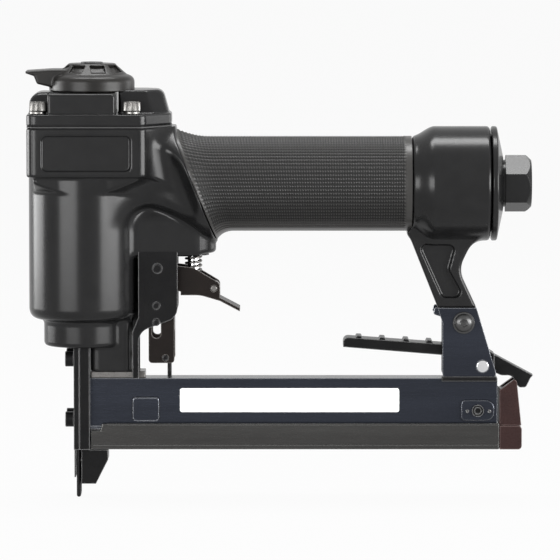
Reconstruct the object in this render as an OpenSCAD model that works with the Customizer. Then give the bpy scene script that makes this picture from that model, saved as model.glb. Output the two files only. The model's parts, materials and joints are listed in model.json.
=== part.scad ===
// Pneumatic upholstery stapler with a slide-out magazine.
// X runs from the nose to the air inlet, Z is up and Z = 0 is the nose face.
// The driver and barrel share the axis X = 0, Y = 0.

/* [Heights] */
// Nose face to the underside of the magazine slide
nose_drop = 14.7; // [10:0.1:20]
// Height of the sliding channel's sides
slide_h = 10.9; // [9:0.1:14]
// Height of the fixed rail that shows above the slide
rail_rise = 18.9; // [17:0.1:24]
// Rail top to the underside of the neck
base_h = 13.5; // [10:0.1:18]
// Height of the neck under the barrel
neck_h = 11.3; // [8:0.1:14]
// Height of the round barrel
barrel_h = 60.5; // [57:0.1:70]
// Height of the square head
head_h = 20.6; // [18:0.1:26]
// Handle axis below the top of the head
handle_drop = 24.4; // [23:0.1:28]

/* [Housing] */
// Length of the straight part of the head
head_l = 48.5; // [46:0.1:54]
// Width of the head
head_w = 49; // [47:0.1:54]
// Length of the tapered tail behind the head
tail_l = 11.4; // [8:0.1:14]
// Width of the tail's end
tail_w = 16; // [12:0.1:22]
// Outer diameter of the barrel
barrel_d = 46; // [44:0.1:47]
// Outer diameter of the neck
neck_d = 33.6; // [30:0.1:38]
// Wall of the barrel
barrel_wall = 3; // [2:0.1:3.5]
// Outer diameter of the handle tube under the grip
handle_d = 35; // [32:0.1:37]
// Bore of the hollow handle
handle_bore = 25; // [20:0.1:28]
// Barrel axis to the rear end of the grip
handle_l = 137.5; // [125:0.5:160]
// Length of the rear bell
bell_l = 32.6; // [28:0.1:40]
// Wall of the rear bell
bell_wall = 4; // [3:0.1:5]
// Thickness of the rear strut
strut_t = 15; // [13:0.1:18]
// Diameter of the rounded end of the trigger-valve boss
boss_d = 19; // [18:0.1:22]
// End of the head's tail to the trigger valve
valve_reach = 9; // [7:0.1:13]
// Height of the boss below the handle axis
boss_drop = 29; // [27:0.1:32]
// Width of the nose base under the neck
base_w = 18; // [16:0.1:18.5]

/* [Grip and air inlet] */
// Outer diameter of the grip
grip_d = 40; // [38:0.1:43]
// Thickness of the end cap's flange
end_flange_t = 2.3; // [2:0.1:4]
// Length of the end cap's cone
end_cone_l = 2.6; // [2:0.1:5]
// Inlet hexagon across flats
inlet_af = 21; // [19:0.1:24]
// Length of the inlet hexagon
inlet_l = 11.9; // [10:0.1:16]
// Radius of the inlet's threaded bore
inlet_bore_r = 5.7; // [5:0.1:7]

/* [Cap and deflector] */
// Thickness of the cap's gasket
gasket_t = 0.6; // [0.4:0.1:1]
// Thickness of the cap's flange
flange_h = 5; // [4:0.1:7]
// Height of the cap's raised block above its flange
block_h = 8.6; // [8:0.1:11]
// Diameter of the exhaust deflector
deflector_d = 35.7; // [34:0.1:38]
// Height of the deflector's round skirt
skirt_h = 5.4; // [4.8:0.1:7]
// Height of the deflector's sloped crown
crown_h = 6; // [5:0.1:8]
// Reach of the deflector's nozzle from its axis
nozzle_reach = 27.5; // [25:0.1:29]

/* [Drive] */
// Outer diameter of the cylinder sleeve
sleeve_d = 34; // [33:0.1:35]
// Bore of the cylinder sleeve
sleeve_bore = 28; // [26:0.1:29]
// Height of the piston
piston_h = 14; // [12:0.1:16]
// Downward stroke of the piston
stroke = 43; // [40:0.1:43]
// Width of the driver blade, as the staple's crown
driver_w = 8.7; // [8.4:0.1:8.9]
// Thickness of the driver blade
driver_t = 1.2; // [1:0.05:1.4]

/* [Nose and safety] */
// Width of the nose
nose_w = 20; // [19:0.1:23]
// Depth of the nose behind the driver axis
nose_back = 2.5; // [2.2:0.1:4]
// Thickness of the nose's front plate
front_t = 2.4; // [2:0.1:3]
// Diameter of the safety wire
wire_d = 1.8; // [1.6:0.1:2]
// Reach of the safety wire below the nose face
wire_reach = 5.9; // [5:0.1:7]
// Upward travel of the safety
safety_travel = 5; // [4:0.1:5.5]

/* [Magazine] */
// Outer width of the fixed rail
rail_w = 12.6; // [12.2:0.1:13.5]
// Sheet thickness of the fixed rail
rail_t = 1.6; // [1.4:0.1:1.8]
// Sheet thickness of the sliding channel
slide_t = 1.1; // [0.9:0.1:1.3]
// Barrel axis to the rear end of the rail
rail_end = 173.5; // [166:0.5:196]
// Width of the staple core
core_w = 6.5; // [6.2:0.1:6.8]
// Length of the magazine's end cap
end_block_l = 9.3; // [8:0.1:12]

/* [Hidden] */
$fn = 64;

// Overrun of every cut past its face
over = 1;
// Running clearance of pins in their holes
run = 0.05;
// Clearance between pieces that pass each other
gap = 0.35;
// Clearance of seated pieces
seat = 0.1;

// Heights of the main levels
slide_z = nose_drop;
slide_top = slide_z + slide_h;
rail_top = slide_top + rail_rise;
neck_z = rail_top + base_h;
barrel_z = neck_z + neck_h;
head_z = barrel_z + barrel_h;
head_top = head_z + head_h;
flange_z = head_top + gasket_t;
flange_top = flange_z + flange_h;
block_top = flange_top + block_h;
handle_z = head_top - handle_drop;
boss_z = handle_z - boss_drop;

// Head, with its front a little nearer to the barrel axis than its back
head_front_share = 0.472;
head_x0 = -head_l * head_front_share;
head_x1 = head_x0 + head_l;
tail_x = head_x1 + tail_l;
valve_x = tail_x + valve_reach;
head_r = 4;
screw_inset = 4.8;
screw_side_inset = 6.3;
screw_places = [
  for (x = [head_x0 + screw_inset, head_x1 - screw_inset])
    for (side = [-1, 1]) [x, side * (head_w / 2 - screw_side_inset)]
];

// Slanted joint between the housing's throat and the grip
throat_step = 0.5;
throat_r = head_w / 2 - throat_step;
grip_flare = throat_r - grip_d / 2;
slant_top = tail_x + seat;
slant_lean_share = 0.39;
slant_mid = slant_top + throat_r * slant_lean_share;

// Bell and the pieces behind it
bell_step = 1;
bell_d = head_w - bell_step;
bell_bore = bell_d - 2 * bell_wall;
bell_x1 = handle_l + bell_l;
bell_neck_share = 0.26;
cap_gap = 0.6;
end_x = bell_x1 + cap_gap;

// Rounds the corners of an outline: each corner point is [x, y, radius]
arc_steps = 6;
function unit(v) = v / norm(v);
function corner(a, p, b) =
  let (
    u = unit([a[0] - p[0], a[1] - p[1]]),
    v = unit([b[0] - p[0], b[1] - p[1]]),
    half = acos(u * v) / 2,
    middle = [p[0], p[1]] + unit(u + v) * p[2] / sin(half),
    start = [p[0], p[1]] + u * p[2] / tan(half) - middle,
    turn = (u[0] * v[1] - u[1] * v[0] > 0 ? -1 : 1) * (180 - 2 * half)
  )
  p[2] == 0 ? [[p[0], p[1]]] : [
    for (i = [0:arc_steps])
      let (t = turn * i / arc_steps)
        middle + [start[0] * cos(t) - start[1] * sin(t), start[0] * sin(t) + start[1] * cos(t)]
  ];
function rounded(points) = [
  for (i = [0:len(points) - 1])
    each corner(points[(i + len(points) - 1) % len(points)], points[i], points[(i + 1) % len(points)])
];

// A plate cut from an X-Z outline, centred on a Y place
module side_plate(points, thickness, y = 0) {
  translate([0, y + thickness / 2, 0])
    rotate([90, 0, 0])
      linear_extrude(thickness)
        polygon(rounded(points));
}

// A pair of equal plates on both sides of the mid-plane, with their outer faces width apart
module plate_pair(points, thickness, width) {
  for (side = [-1, 1])
    side_plate(points, thickness, side * (width - thickness) / 2);
}

// A round bar across the mid-plane
module cross_pin(d, length, x, z) {
  translate([x, length / 2, z])
    rotate([90, 0, 0])
      cylinder(d = d, h = length);
}

// A round bar along +X
module x_bar(d, length, x, z) {
  translate([x, 0, z])
    rotate([0, 90, 0])
      cylinder(d = d, h = length);
}

// A straight bar between two points with ball ends
module rod(a, b, d) {
  v = b - a;
  translate(a)
    rotate([0, acos(v[2] / norm(v)), atan2(v[1], v[0])])
      cylinder(d = d, h = norm(v), $fn = 24);
  for (p = [a, b])
    translate(p)
      sphere(d = d, $fn = 24);
}

// A coil spring on Z = 0: a round wire swept along a helix
coil_sides = 6;
coil_steps = 12;
module coil(d, wire, h, turns) {
  n = turns * coil_steps;
  path_r = (d - wire) / 2;
  points = [
    for (i = [0:n])
      let (a = 360 * i / coil_steps, z = wire / 2 + (h - wire) * i / n)
        for (j = [0:coil_sides - 1])
          let (b = 360 * j / coil_sides, r = path_r + wire / 2 * cos(b))
            [r * cos(a), r * sin(a), z + wire / 2 * sin(b)]
  ];
  walls = [
    for (i = [0:n - 1])
      for (j = [0:coil_sides - 1])
        let (p = i * coil_sides, q = p + coil_sides, k = (j + 1) % coil_sides)
          each [[p + j, p + k, q + k], [p + j, q + k, q + j]]
  ];
  first = [for (j = [coil_sides - 1:-1:0]) j];
  last = [for (j = [0:coil_sides - 1]) n * coil_sides + j];
  polyhedron(points, concat(walls, [first, last]));
}

// A socket-head cap screw along -Z with its head's underside on Z = 0
module cap_screw(thread, head_d, head_hh, length) {
  socket_share = 0.55;
  difference() {
    union() {
      cylinder(d = head_d, h = head_hh);
      translate([0, 0, -length])
        cylinder(d = thread, h = length);
    }
    translate([0, 0, head_hh * (1 - socket_share)])
      cylinder(d = thread, h = head_hh, $fn = 6);
  }
}

module head_plan(inset = 0) {
  polygon(rounded([
    [head_x0 + inset, -head_w / 2 + inset, head_r],
    [head_x1, -head_w / 2 + inset, head_r],
    [tail_x - inset, -tail_w / 2 + inset, head_r],
    [tail_x - inset, tail_w / 2 - inset, head_r],
    [head_x1, head_w / 2 - inset, head_r],
    [head_x0 + inset, head_w / 2 - inset, head_r]
  ]));
}

// Housing details
slant_r = throat_r - seat;
throat_top = min(handle_z + throat_r, head_top);
floor_t = 1.7;
sleeve_z = barrel_z + floor_t;
sleeve_seat_h = 5;
sleeve_drop = 2.4;
sleeve_top = head_top - sleeve_drop;
badge_t = 1;
badge_margin = 6;
badge_rim = 3;
badge_r = 2;
base_x0 = 2.9;
base_x1 = 20.6;
base_clear = 3;
base_z = rail_top + base_clear;
driver_gap = 0.15;
bracket_h = 29.8;
bracket_t = 1.5;
bracket_top = rail_top + bracket_h;
bracket_l = 16.3;
bracket_in = 8.9;
bracket_x1 = rail_end - bracket_in;
bracket_x0 = bracket_x1 - bracket_l;
strut_front = 1.8;
strut_l = 29;
strut_x0 = handle_l - strut_front;
strut_x1 = strut_x0 + strut_l;
strut_top = handle_z - bell_bore / 2 - seat;
waist_in = 7.5;
waist_h = 16;
waist_x = bracket_x1 - waist_in;
waist_z = bracket_top + waist_h;
strut_r = 10;
pocket_t = 2;
pocket_rim = 4.4;
pocket_r = 2.5;
tongue_t = strut_t - 2 * bracket_t - 2 * seat;
tongue_l = 13;
tongue_inset = 2.4;
thread_d = 4;
thread_l = 16;
valve_bore = 13;
waist_w = 22;
waist_wall = 3;
waist_bore = waist_w - 2 * waist_wall;
flare_l = 8;
flare_bend = 6;
tube_x = slant_mid - flare_l / 4;
chamber_x = slant_mid + handle_bore / 2;
scallop_h = 7.5;
scallop_reach = 30;
scallop_inset = 0.3;
edge_r = 3;

module housing() {
  color([0.12, 0.12, 0.13])
    difference() {
      union() {
        translate([0, 0, head_z])
          linear_extrude(head_h)
            head_plan();
        barrel_shell();
        head_shoulder();
        throat();
        handle_tube();
        bell();
        strut();
        translate([base_x0, -base_w / 2, base_z])
          cube([base_x1 - base_x0, base_w, barrel_z - base_z + edge_r]);
      }
      housing_bores();
      badge_recess();
    }
}

module barrel_shell() {
  rotate_extrude()
    polygon(rounded([
      [0, neck_z, 0],
      [neck_d / 2, neck_z, edge_r],
      [neck_d / 2, barrel_z, edge_r],
      [barrel_d / 2, barrel_z, edge_r],
      [barrel_d / 2, head_z + over, 0],
      [0, head_z + over, 0]
    ]));
}

// Throat and trigger-valve boss, both cut off along the slanted joint
// Tube under the grip, cut at the slanted joint
module handle_tube() {
  intersection() {
    x_bar(handle_d, handle_l, 0, handle_z);
    side_plate([
      [tube_x + handle_d * slant_lean_share, handle_z - handle_d, 0],
      [handle_l, handle_z - handle_d, 0],
      [handle_l, handle_z + handle_d, 0],
      [tube_x - handle_d * slant_lean_share, handle_z + handle_d, 0]
    ], 2 * handle_d);
  }
}

// Corners under the square head that slope down to the round barrel
module head_shoulder() {
  intersection() {
    translate([0, 0, head_z - scallop_h])
      linear_extrude(scallop_h + edge_r)
        head_plan(scallop_inset);
    translate([0, 0, head_z - scallop_h])
      cylinder(d1 = barrel_d - edge_r, d2 = barrel_d + scallop_reach, h = scallop_h + edge_r);
  }
}

// Upright waist that leans with the slanted joint and opens in a curve to meet the grip
module neck_waist() {
  translate([slant_mid, 0, handle_z])
    rotate([0, -atan(slant_lean_share), 0])
      translate([0, 0, -2 * throat_r])
        linear_extrude(4 * throat_r)
          polygon(rounded([
            [flare_l, waist_w / 2 - throat_r * 2, 0],
            [flare_l, throat_r * 2 - waist_w / 2, 0],
            [-flare_l, waist_w / 2, flare_bend],
            [-4 * throat_r, waist_w / 2, 0],
            [-4 * throat_r, -waist_w / 2, 0],
            [-flare_l, -waist_w / 2, flare_bend]
          ]));
}

module throat() {
  intersection() {
    union() {
      intersection() {
        x_bar(2 * slant_r, slant_mid + throat_r, 0, handle_z);
        neck_waist();
      }
      translate([valve_x, 0, boss_z])
        cylinder(d = boss_d, h = boss_drop);
      translate([0, -boss_d / 2, boss_z])
        cube([valve_x, boss_d, boss_drop]);
    }
    side_plate([
      [0, boss_z, 0],
      [slant_mid + boss_drop * slant_lean_share, boss_z, 0],
      [slant_mid - (throat_top - handle_z) * slant_lean_share, throat_top, 0],
      [0, throat_top, 0]
    ], 2 * throat_r);
  }
}

module bell() {
  shoulder = bell_l * bell_neck_share;
  translate([handle_l, 0, handle_z])
    rotate([0, 90, 0])
      rotate_extrude()
        polygon(rounded([
          [0, 0, 0],
          [grip_d / 2, 0, 0],
          [grip_d / 2, shoulder / 2, edge_r],
          [bell_d / 2, shoulder, edge_r],
          [bell_d / 2, bell_l, 0],
          [0, bell_l, 0]
        ]));
}

module strut() {
  difference() {
    side_plate([
      [strut_x0, strut_top, 0],
      [bracket_x0, bracket_top, 0],
      [bracket_x1, bracket_top, 0],
      [waist_x, waist_z, strut_r],
      [strut_x1, strut_top, 0]
    ], strut_t);
    for (side = [-1, 1])
      side_plate([
        [strut_x0 + pocket_rim, strut_top - pocket_rim, pocket_r],
        [bracket_x0 + pocket_rim / 2, bracket_top + pocket_rim, pocket_r],
        [bracket_x1 - pocket_rim, bracket_top + pocket_rim, pocket_r],
        [waist_x - pocket_rim, waist_z, pocket_r],
        [strut_x1 - 2 * pocket_rim, strut_top - pocket_rim, pocket_r]
      ], pocket_t, side * (strut_t - pocket_t) / 2);
  }
  translate([bracket_x0 + tongue_inset, -tongue_t / 2, bracket_top - tongue_l])
    cube([bracket_x1 - bracket_x0 - 2 * tongue_inset, tongue_t, tongue_l + over]);
}

module housing_bores() {
  translate([0, 0, sleeve_z])
    cylinder(d = sleeve_d + 2 * seat, h = head_h + barrel_h);
  translate([0, 0, sleeve_z + sleeve_seat_h])
    cylinder(d = barrel_d - 2 * barrel_wall, h = head_top);
  translate([-driver_t / 2 - driver_gap, -driver_w / 2 - driver_gap, neck_z - over])
    cube([driver_t + 2 * driver_gap, driver_w + 2 * driver_gap, neck_h + 2 * over + floor_t]);
  x_bar(waist_bore, valve_x, sleeve_d / 2, handle_z);
  x_bar(handle_bore, bell_x1 - chamber_x, chamber_x, handle_z);
  x_bar(bell_bore, bell_l, handle_l + bell_l * bell_neck_share, handle_z);
  translate([valve_x, 0, boss_z - over])
    cylinder(d = valve_bore, h = boss_drop + over);
  for (p = screw_places)
    translate([p[0], p[1], head_top - thread_l])
      cylinder(d = thread_d + 2 * run, h = thread_l + over);
  cross_pin(bracket_screw_d + 2 * run, strut_t + 2 * over, bracket_screw_x, bracket_screw_z);
}

module badge_recess() {
  for (side = [-1, 1])
    side_plate([
      [head_x0 + badge_margin, head_z + badge_rim, badge_r],
      [head_x1 - badge_margin, head_z + badge_rim, badge_r],
      [head_x1 - badge_margin, head_top - badge_rim, badge_r],
      [head_x0 + badge_margin, head_top - badge_rim, badge_r]
    ], 2 * badge_t, side * head_w / 2);
}

// Grip: rings that start parallel to the slanted joint and end square at the bell
grip_sides = 48;
grip_rings = 12;
flare_share = 0.12;
function grip_radius(t) = grip_d / 2 + grip_flare * pow(max(0, 1 - t / flare_share), 2);
function grip_point(t, a, r) =
  let (front = slant_mid + seat - r * cos(a) * slant_lean_share)
    [front + t * t * (handle_l - seat - front), r * sin(a), handle_z + r * cos(a)];

module handle_grip() {
  hole_r = (handle_d / 2 + seat) / cos(180 / grip_sides);
  outer = [for (i = [0:grip_rings]) let (t = i / grip_rings)
    for (j = [0:grip_sides - 1]) grip_point(t, 360 * j / grip_sides, grip_radius(t * t))];
  inner = [for (t = [1, 0]) for (j = [0:grip_sides - 1]) grip_point(t, 360 * j / grip_sides, hole_r)];
  rings = grip_rings + 3;
  color([0.1, 0.1, 0.1])
    polyhedron(
      concat(outer, inner),
      [for (i = [0:rings - 1]) for (j = [0:grip_sides - 1])
        let (a = i * grip_sides, b = (i + 1) % rings * grip_sides, k = (j + 1) % grip_sides)
          each [[a + j, b + j, b + k], [a + j, b + k, a + k]]]
    );
}

// Cylinder cap
valve_r = barrel_d / 2 - barrel_wall - seat;
cavity_roof = 1.2;
cavity_top = flange_top - cavity_roof;
spring_pocket_r = 10;
pocket_roof = 4.6;
spring_pocket_top = block_top - pocket_roof;
deflector_x = 3.6;
washer_t = 1.2;
cap_head_d = 7;
cap_head_h = 4;
tower_gap = 2.7;
tower_w = head_w - 2 * (screw_side_inset + cap_head_d / 2 + tower_gap);
tower_inset = 1;
tower_r = 5;
tower_lean = 2.6;
tower_rear_r = 3.5;
block_front_gap = 1.2;
block_rear_gap = 2.6;
block_x0 = head_x0 + screw_inset + cap_head_d / 2 + block_front_gap;
block_x1 = head_x1 - screw_inset - cap_head_d / 2 - block_rear_gap;
tower_step = 1.1;
rear_tower_h = block_h + tower_step;
port_r = 2.6;
port_y = 8.5;
pivot_d = 4;
pivot_l = 4;

module cylinder_cap() {
  color([0.12, 0.12, 0.13])
    difference() {
      union() {
        translate([0, 0, flange_z])
          linear_extrude(flange_h)
            head_plan();
        intersection() {
          translate([0, 0, flange_z])
            linear_extrude(flange_h + rear_tower_h)
              head_plan(tower_inset);
          union() {
            translate([block_x0, -head_w / 2, flange_z])
              cube([block_x1 - block_x0, head_w, flange_h + block_h]);
            cap_towers();
          }
        }
      }
      translate([0, 0, flange_z - over])
        cylinder(r = valve_r + run, h = cavity_top - flange_z + over);
      translate([0, 0, flange_z])
        cylinder(r = spring_pocket_r, h = spring_pocket_top - flange_z);
      for (side = [-1, 1])
        translate([deflector_x, side * port_y, cavity_top - over])
          cylinder(r = port_r, h = block_h + 2 * over + cavity_roof);
      translate([deflector_x, 0, block_top - pivot_l])
        cylinder(d = pivot_d + 2 * run, h = pivot_l + over);
      for (p = screw_places)
        translate([p[0], p[1], flange_z - over])
          cylinder(d = thread_d + 2 * run, h = flange_h + 2 * over);
    }
}

// Front tower with a round shoulder and rear tower with a leaning end
module cap_towers() {
  step_x = deflector_x + deflector_d / 2 + gap;
  side_plate([
    [head_x0 + tower_inset, flange_z, 0],
    [tail_x - tower_inset, flange_z, 0],
    [tail_x - tower_inset, flange_top, 0],
    [tail_x - tower_inset - tower_lean, flange_top + rear_tower_h, tower_rear_r],
    [step_x, flange_top + rear_tower_h, 0],
    [step_x, block_top, 0],
    [head_x0 + tower_inset, block_top, tower_r]
  ], tower_w);
}

module cap_gasket() {
  color([0.2, 0.2, 0.2])
    translate([0, 0, head_top])
      linear_extrude(gasket_t)
        difference() {
          head_plan(seat);
          circle(d = barrel_d - 2 * barrel_wall);
          for (p = screw_places)
            translate(p)
              circle(d = thread_d + 2 * run);
        }
}

module cap_screws() {
  color([0.75, 0.74, 0.7])
    for (p = screw_places)
      translate([p[0], p[1], flange_top + washer_t])
        cap_screw(thread_d, cap_head_d, cap_head_h, thread_l + flange_h + gasket_t + washer_t - over);
}

module cap_washers() {
  color([0.7, 0.7, 0.68])
    for (p = screw_places)
      translate([p[0], p[1], flange_top])
        difference() {
          cylinder(d = cap_head_d, h = washer_t);
          translate([0, 0, -over])
            cylinder(d = thread_d + 2 * run, h = washer_t + 2 * over);
        }
}

// Drive: sleeve, bumper, valve and piston
bumper_h = 13;
ring_d = 2;
valve_t = 3;
piston_drop = 2;
piston_top = sleeve_top - piston_drop;
piston_z = piston_top - piston_h;
groove_share = 0.7;
valve_spring_d = 18;
valve_spring_wire = 1.2;
blade_socket = 6;
// The blade stops this far above the nose face at the end of its stroke
blade_short = 0.5;
blade_end = stroke + blade_short;

module cylinder_sleeve() {
  color([0.75, 0.76, 0.78])
    difference() {
      translate([0, 0, sleeve_z])
        cylinder(d = sleeve_d, h = sleeve_top - sleeve_z);
      translate([0, 0, sleeve_z - over])
        cylinder(d = sleeve_bore, h = sleeve_top - sleeve_z + 2 * over);
    }
}

module sleeve_ring() {
  color([0.1, 0.1, 0.1])
    translate([0, 0, sleeve_z + sleeve_seat_h + ring_d / 2])
      rotate_extrude()
        translate([sleeve_d / 2 + ring_d / 2 + seat, 0])
          circle(d = ring_d, $fn = 24);
}

module bumper() {
  color([0.15, 0.15, 0.15])
    difference() {
      translate([0, 0, sleeve_z])
        cylinder(d = sleeve_bore - 2 * seat, h = bumper_h);
      translate([-driver_t, -driver_w / 2 - gap, sleeve_z - over])
        cube([2 * driver_t, driver_w + 2 * gap, bumper_h + 2 * over]);
    }
}

module head_valve() {
  color([0.5, 0.5, 0.52])
    translate([0, 0, sleeve_top + gap])
      difference() {
        cylinder(r = valve_r, h = valve_t);
        translate([0, 0, valve_t / 2])
          cylinder(d = valve_spring_d + 2 * gap, h = valve_t);
      }
}

module head_valve_spring() {
  z = sleeve_top + gap + valve_t / 2;
  color([0.7, 0.7, 0.7])
    translate([0, 0, z])
      coil(valve_spring_d, valve_spring_wire, spring_pocket_top - z - seat, valve_turns);
}

module piston() {
  color([0.72, 0.72, 0.74])
    difference() {
      translate([0, 0, piston_z])
        cylinder(d = sleeve_bore - 2 * seat, h = piston_h);
      translate([0, 0, piston_z + piston_h * groove_share])
        rotate_extrude()
          translate([sleeve_bore / 2 - ring_d, -ring_d / 2 - seat])
            square([2 * ring_d, ring_d + 2 * seat]);
      translate([-driver_t / 2 - run, -driver_w / 2 - run, piston_z - over])
        cube([driver_t + 2 * run, driver_w + 2 * run, blade_socket + over]);
    }
}

module piston_ring() {
  color([0.1, 0.1, 0.1])
    translate([0, 0, piston_z + piston_h * groove_share])
      rotate_extrude()
        translate([sleeve_bore / 2 - ring_d / 2 - run, 0])
          circle(d = ring_d - 2 * run, $fn = 24);
}

module driver_blade() {
  color([0.6, 0.6, 0.62])
    translate([-driver_t / 2, -driver_w / 2, blade_end])
      cube([driver_t, driver_w, piston_z + blade_socket - blade_end]);
}

// Exhaust deflector
deflector_z = block_top + gap;
deflector_wall = 2;
crown_d = 28;
crown_top_d = 16.8;
shoulder_h = 2.8;
slots = 8;
slot_turn_share = 0.022;
slot_w = 5;
slot_depth = 1.2;
nozzle_w = 15;
nozzle_lip = 1.2;
nozzle_rise = 2;
nozzle_z = deflector_z + nozzle_rise;
nozzle_top = deflector_z + skirt_h + shoulder_h;
deflector_roof = deflector_z + skirt_h + crown_h - deflector_wall;
screw_head_d = 9.2;
screw_head_h = 2.6;

module exhaust_deflector() {
  color([0.1, 0.1, 0.1])
    translate([deflector_x, 0, 0])
      difference() {
        union() {
          deflector_shell();
          deflector_nozzle();
        }
        translate([0, 0, deflector_z - over])
          cylinder(d = deflector_d - 2 * deflector_wall, h = skirt_h);
        translate([-nozzle_reach - over, -nozzle_w / 2 + nozzle_lip, nozzle_z + nozzle_lip])
          cube([nozzle_reach, nozzle_w - 2 * nozzle_lip, skirt_h - 3 * nozzle_lip]);
        cylinder(d = pivot_d + 2 * run, h = deflector_roof + crown_h);
        translate([0, 0, deflector_roof])
          cylinder(d = screw_head_d + 2 * gap, h = crown_h);
        for (i = [0:slots - 1])
          rotate([0, 0, 360 * ((i + 1 / 2) / slots - slot_turn_share)])
            translate([crown_d / 2 - slot_depth, -slot_w / 2, deflector_z + skirt_h + shoulder_h / 2])
              rotate([0, -crown_slope, 0])
                cube([slot_depth * 2, slot_w, crown_h / 2]);
      }
}

crown_slope = atan2((crown_d - crown_top_d) / 2, crown_h - shoulder_h);

module deflector_shell() {
  rotate_extrude()
    polygon(rounded([
      [0, deflector_z, 0],
      [deflector_d / 2, deflector_z, 0],
      [deflector_d / 2, deflector_z + skirt_h, 2 * nozzle_lip],
      [crown_d / 2, deflector_z + skirt_h + shoulder_h, nozzle_lip],
      [crown_top_d / 2, deflector_z + skirt_h + crown_h, nozzle_lip],
      [0, deflector_z + skirt_h + crown_h, 0]
    ]));
  translate([0, 0, block_top + seat])
    cylinder(d = screw_head_d, h = skirt_h);
}

module deflector_nozzle() {
  side_plate([
    [-nozzle_reach, nozzle_top - 2 * nozzle_lip, 0],
    [-nozzle_reach + nozzle_lip, nozzle_z + nozzle_lip, nozzle_lip],
    [-deflector_d / 2, nozzle_z, 0],
    [0, nozzle_z, 0],
    [0, nozzle_top, 0],
    [-nozzle_reach, nozzle_top - nozzle_lip, 0]
  ], nozzle_w);
}

module deflector_screw() {
  color([0.3, 0.3, 0.3])
    translate([deflector_x, 0, deflector_roof + seat])
      cap_screw(pivot_d, screw_head_d, screw_head_h - seat, deflector_roof - block_top + pivot_l);
}

// End of the handle
spigot_l = 12;
spigot_r = bell_bore / 2 - seat;
spigot_wall = 2.9;
end_ring_d = 3;
spigot_bore_r = spigot_r - end_ring_d - spigot_wall;
end_hub_d = 24;
collar_l = 1;
hex_chamfer_share = 0.94;
inlet_turn_share = 0.022;

module end_cap() {
  color([0.12, 0.12, 0.13])
    translate([end_x, 0, handle_z])
      rotate([0, 90, 0])
        rotate_extrude()
          polygon([
            [inlet_bore_r + 2 * deflector_wall, -spigot_l / 2],
            [inlet_bore_r + 2 * deflector_wall, end_flange_t + end_cone_l],
            [end_hub_d / 2, end_flange_t + end_cone_l],
            [bell_d / 2, end_flange_t],
            [bell_d / 2, 0],
            [spigot_r, 0],
            [spigot_r, -spigot_l / 2],
            [spigot_r - end_ring_d, -spigot_l / 2],
            [spigot_r - end_ring_d, -spigot_l / 2 - end_ring_d - seat],
            [spigot_r, -spigot_l / 2 - end_ring_d - seat],
            [spigot_r, -spigot_l],
            [spigot_bore_r, -spigot_l],
            [spigot_bore_r, -spigot_l / 2]
          ]);
}

module end_cap_ring() {
  color([0.1, 0.1, 0.1])
    translate([end_x - (spigot_l + end_ring_d + seat) / 2, 0, handle_z])
      rotate([0, 90, 0])
        rotate_extrude()
          translate([spigot_r - end_ring_d / 2, 0])
            circle(d = end_ring_d - seat, $fn = 24);
}

module air_inlet() {
  hex_x = end_x + end_flange_t + end_cone_l;
  stem_d = 2 * inlet_bore_r + 4 * deflector_wall - 2 * seat;
  color([0.2, 0.2, 0.21])
    difference() {
      union() {
        intersection() {
          translate([hex_x + collar_l, 0, handle_z])
            rotate([0, 90, 0])
              rotate([0, 0, 360 * inlet_turn_share])
                cylinder(d = inlet_af / cos(30), h = inlet_l - collar_l, $fn = 6);
          translate([hex_x, 0, handle_z])
            rotate([0, 90, 0])
              cylinder(r1 = inlet_af, r2 = inlet_af / 2 * hex_chamfer_share, h = inlet_l);
        }
        x_bar(inlet_af * hex_chamfer_share, collar_l + over, hex_x, handle_z);
        x_bar(stem_d, end_flange_t + end_cone_l + spigot_l / 2 + over, end_x - spigot_l / 2, handle_z);
      }
      x_bar(2 * inlet_bore_r, inlet_l + end_flange_t + end_cone_l + spigot_l, end_x - spigot_l, handle_z);
    }
}

// Trigger valve
stem_d = 5;
stem_gap = 1.2;
bush_lip = 1;
dog_drop = 12;
dog_top = boss_z - dog_drop;
coil_wire = 1;
valve_coil_d = 7.4;
valve_turns = 4;

module valve_bush() {
  color([0.72, 0.6, 0.3])
    difference() {
      union() {
        translate([valve_x, 0, boss_z])
          cylinder(d = valve_bore - 2 * seat, h = boss_drop / 2);
        translate([valve_x, 0, boss_z - bush_lip])
          cylinder(d = valve_bore, h = bush_lip - seat);
        translate([valve_x, 0, boss_z - bush_lip])
          cylinder(d = valve_bore - 2 * seat, h = bush_lip);
      }
      translate([valve_x, 0, boss_z - bush_lip - over])
        cylinder(d = stem_d + 2 * run, h = boss_drop);
    }
}

module valve_stem() {
  color([0.6, 0.6, 0.62])
    translate([valve_x, 0, dog_top + stem_gap]) {
      cylinder(d = stem_d, h = boss_z + boss_drop / 2 - dog_top - stem_gap);
      cylinder(d = valve_coil_d, h = bush_lip);
    }
}

module valve_spring() {
  z = dog_top + stem_gap + bush_lip + seat;
  color([0.7, 0.7, 0.68])
    translate([valve_x, 0, z])
      coil(valve_coil_d, coil_wire, boss_z - bush_lip - seat - z, valve_turns);
}

// Trigger bracket, trigger and safety
ear_t = 1.6;
ear_w = boss_d + 2 * seat + 2 * ear_t;
ear_x0 = barrel_d / 2 + seat;
ear_l = 16.4;
ear_rise = 5.9;
ear_lift = 6.5;
ear_x1 = ear_x0 + ear_l;
ear_top = boss_z + ear_rise;
ear_low = neck_z + ear_lift;
leg_w = 2.6;
pivot_in = 8;
pivot_drop = 5.9;
pivot_x = ear_x0 + pivot_in;
pivot_z = boss_z - pivot_drop;
guide_lift = 4;
guide_pitch = 7;
guide_in = 0.5;
guide_zs = [ear_low + guide_lift, ear_low + guide_lift + guide_pitch];
guide_x = pivot_x - guide_in;
pin_d = 4;
guide_d = 3;
pin_proud = 0.8;
ear_r = 6;

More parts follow.
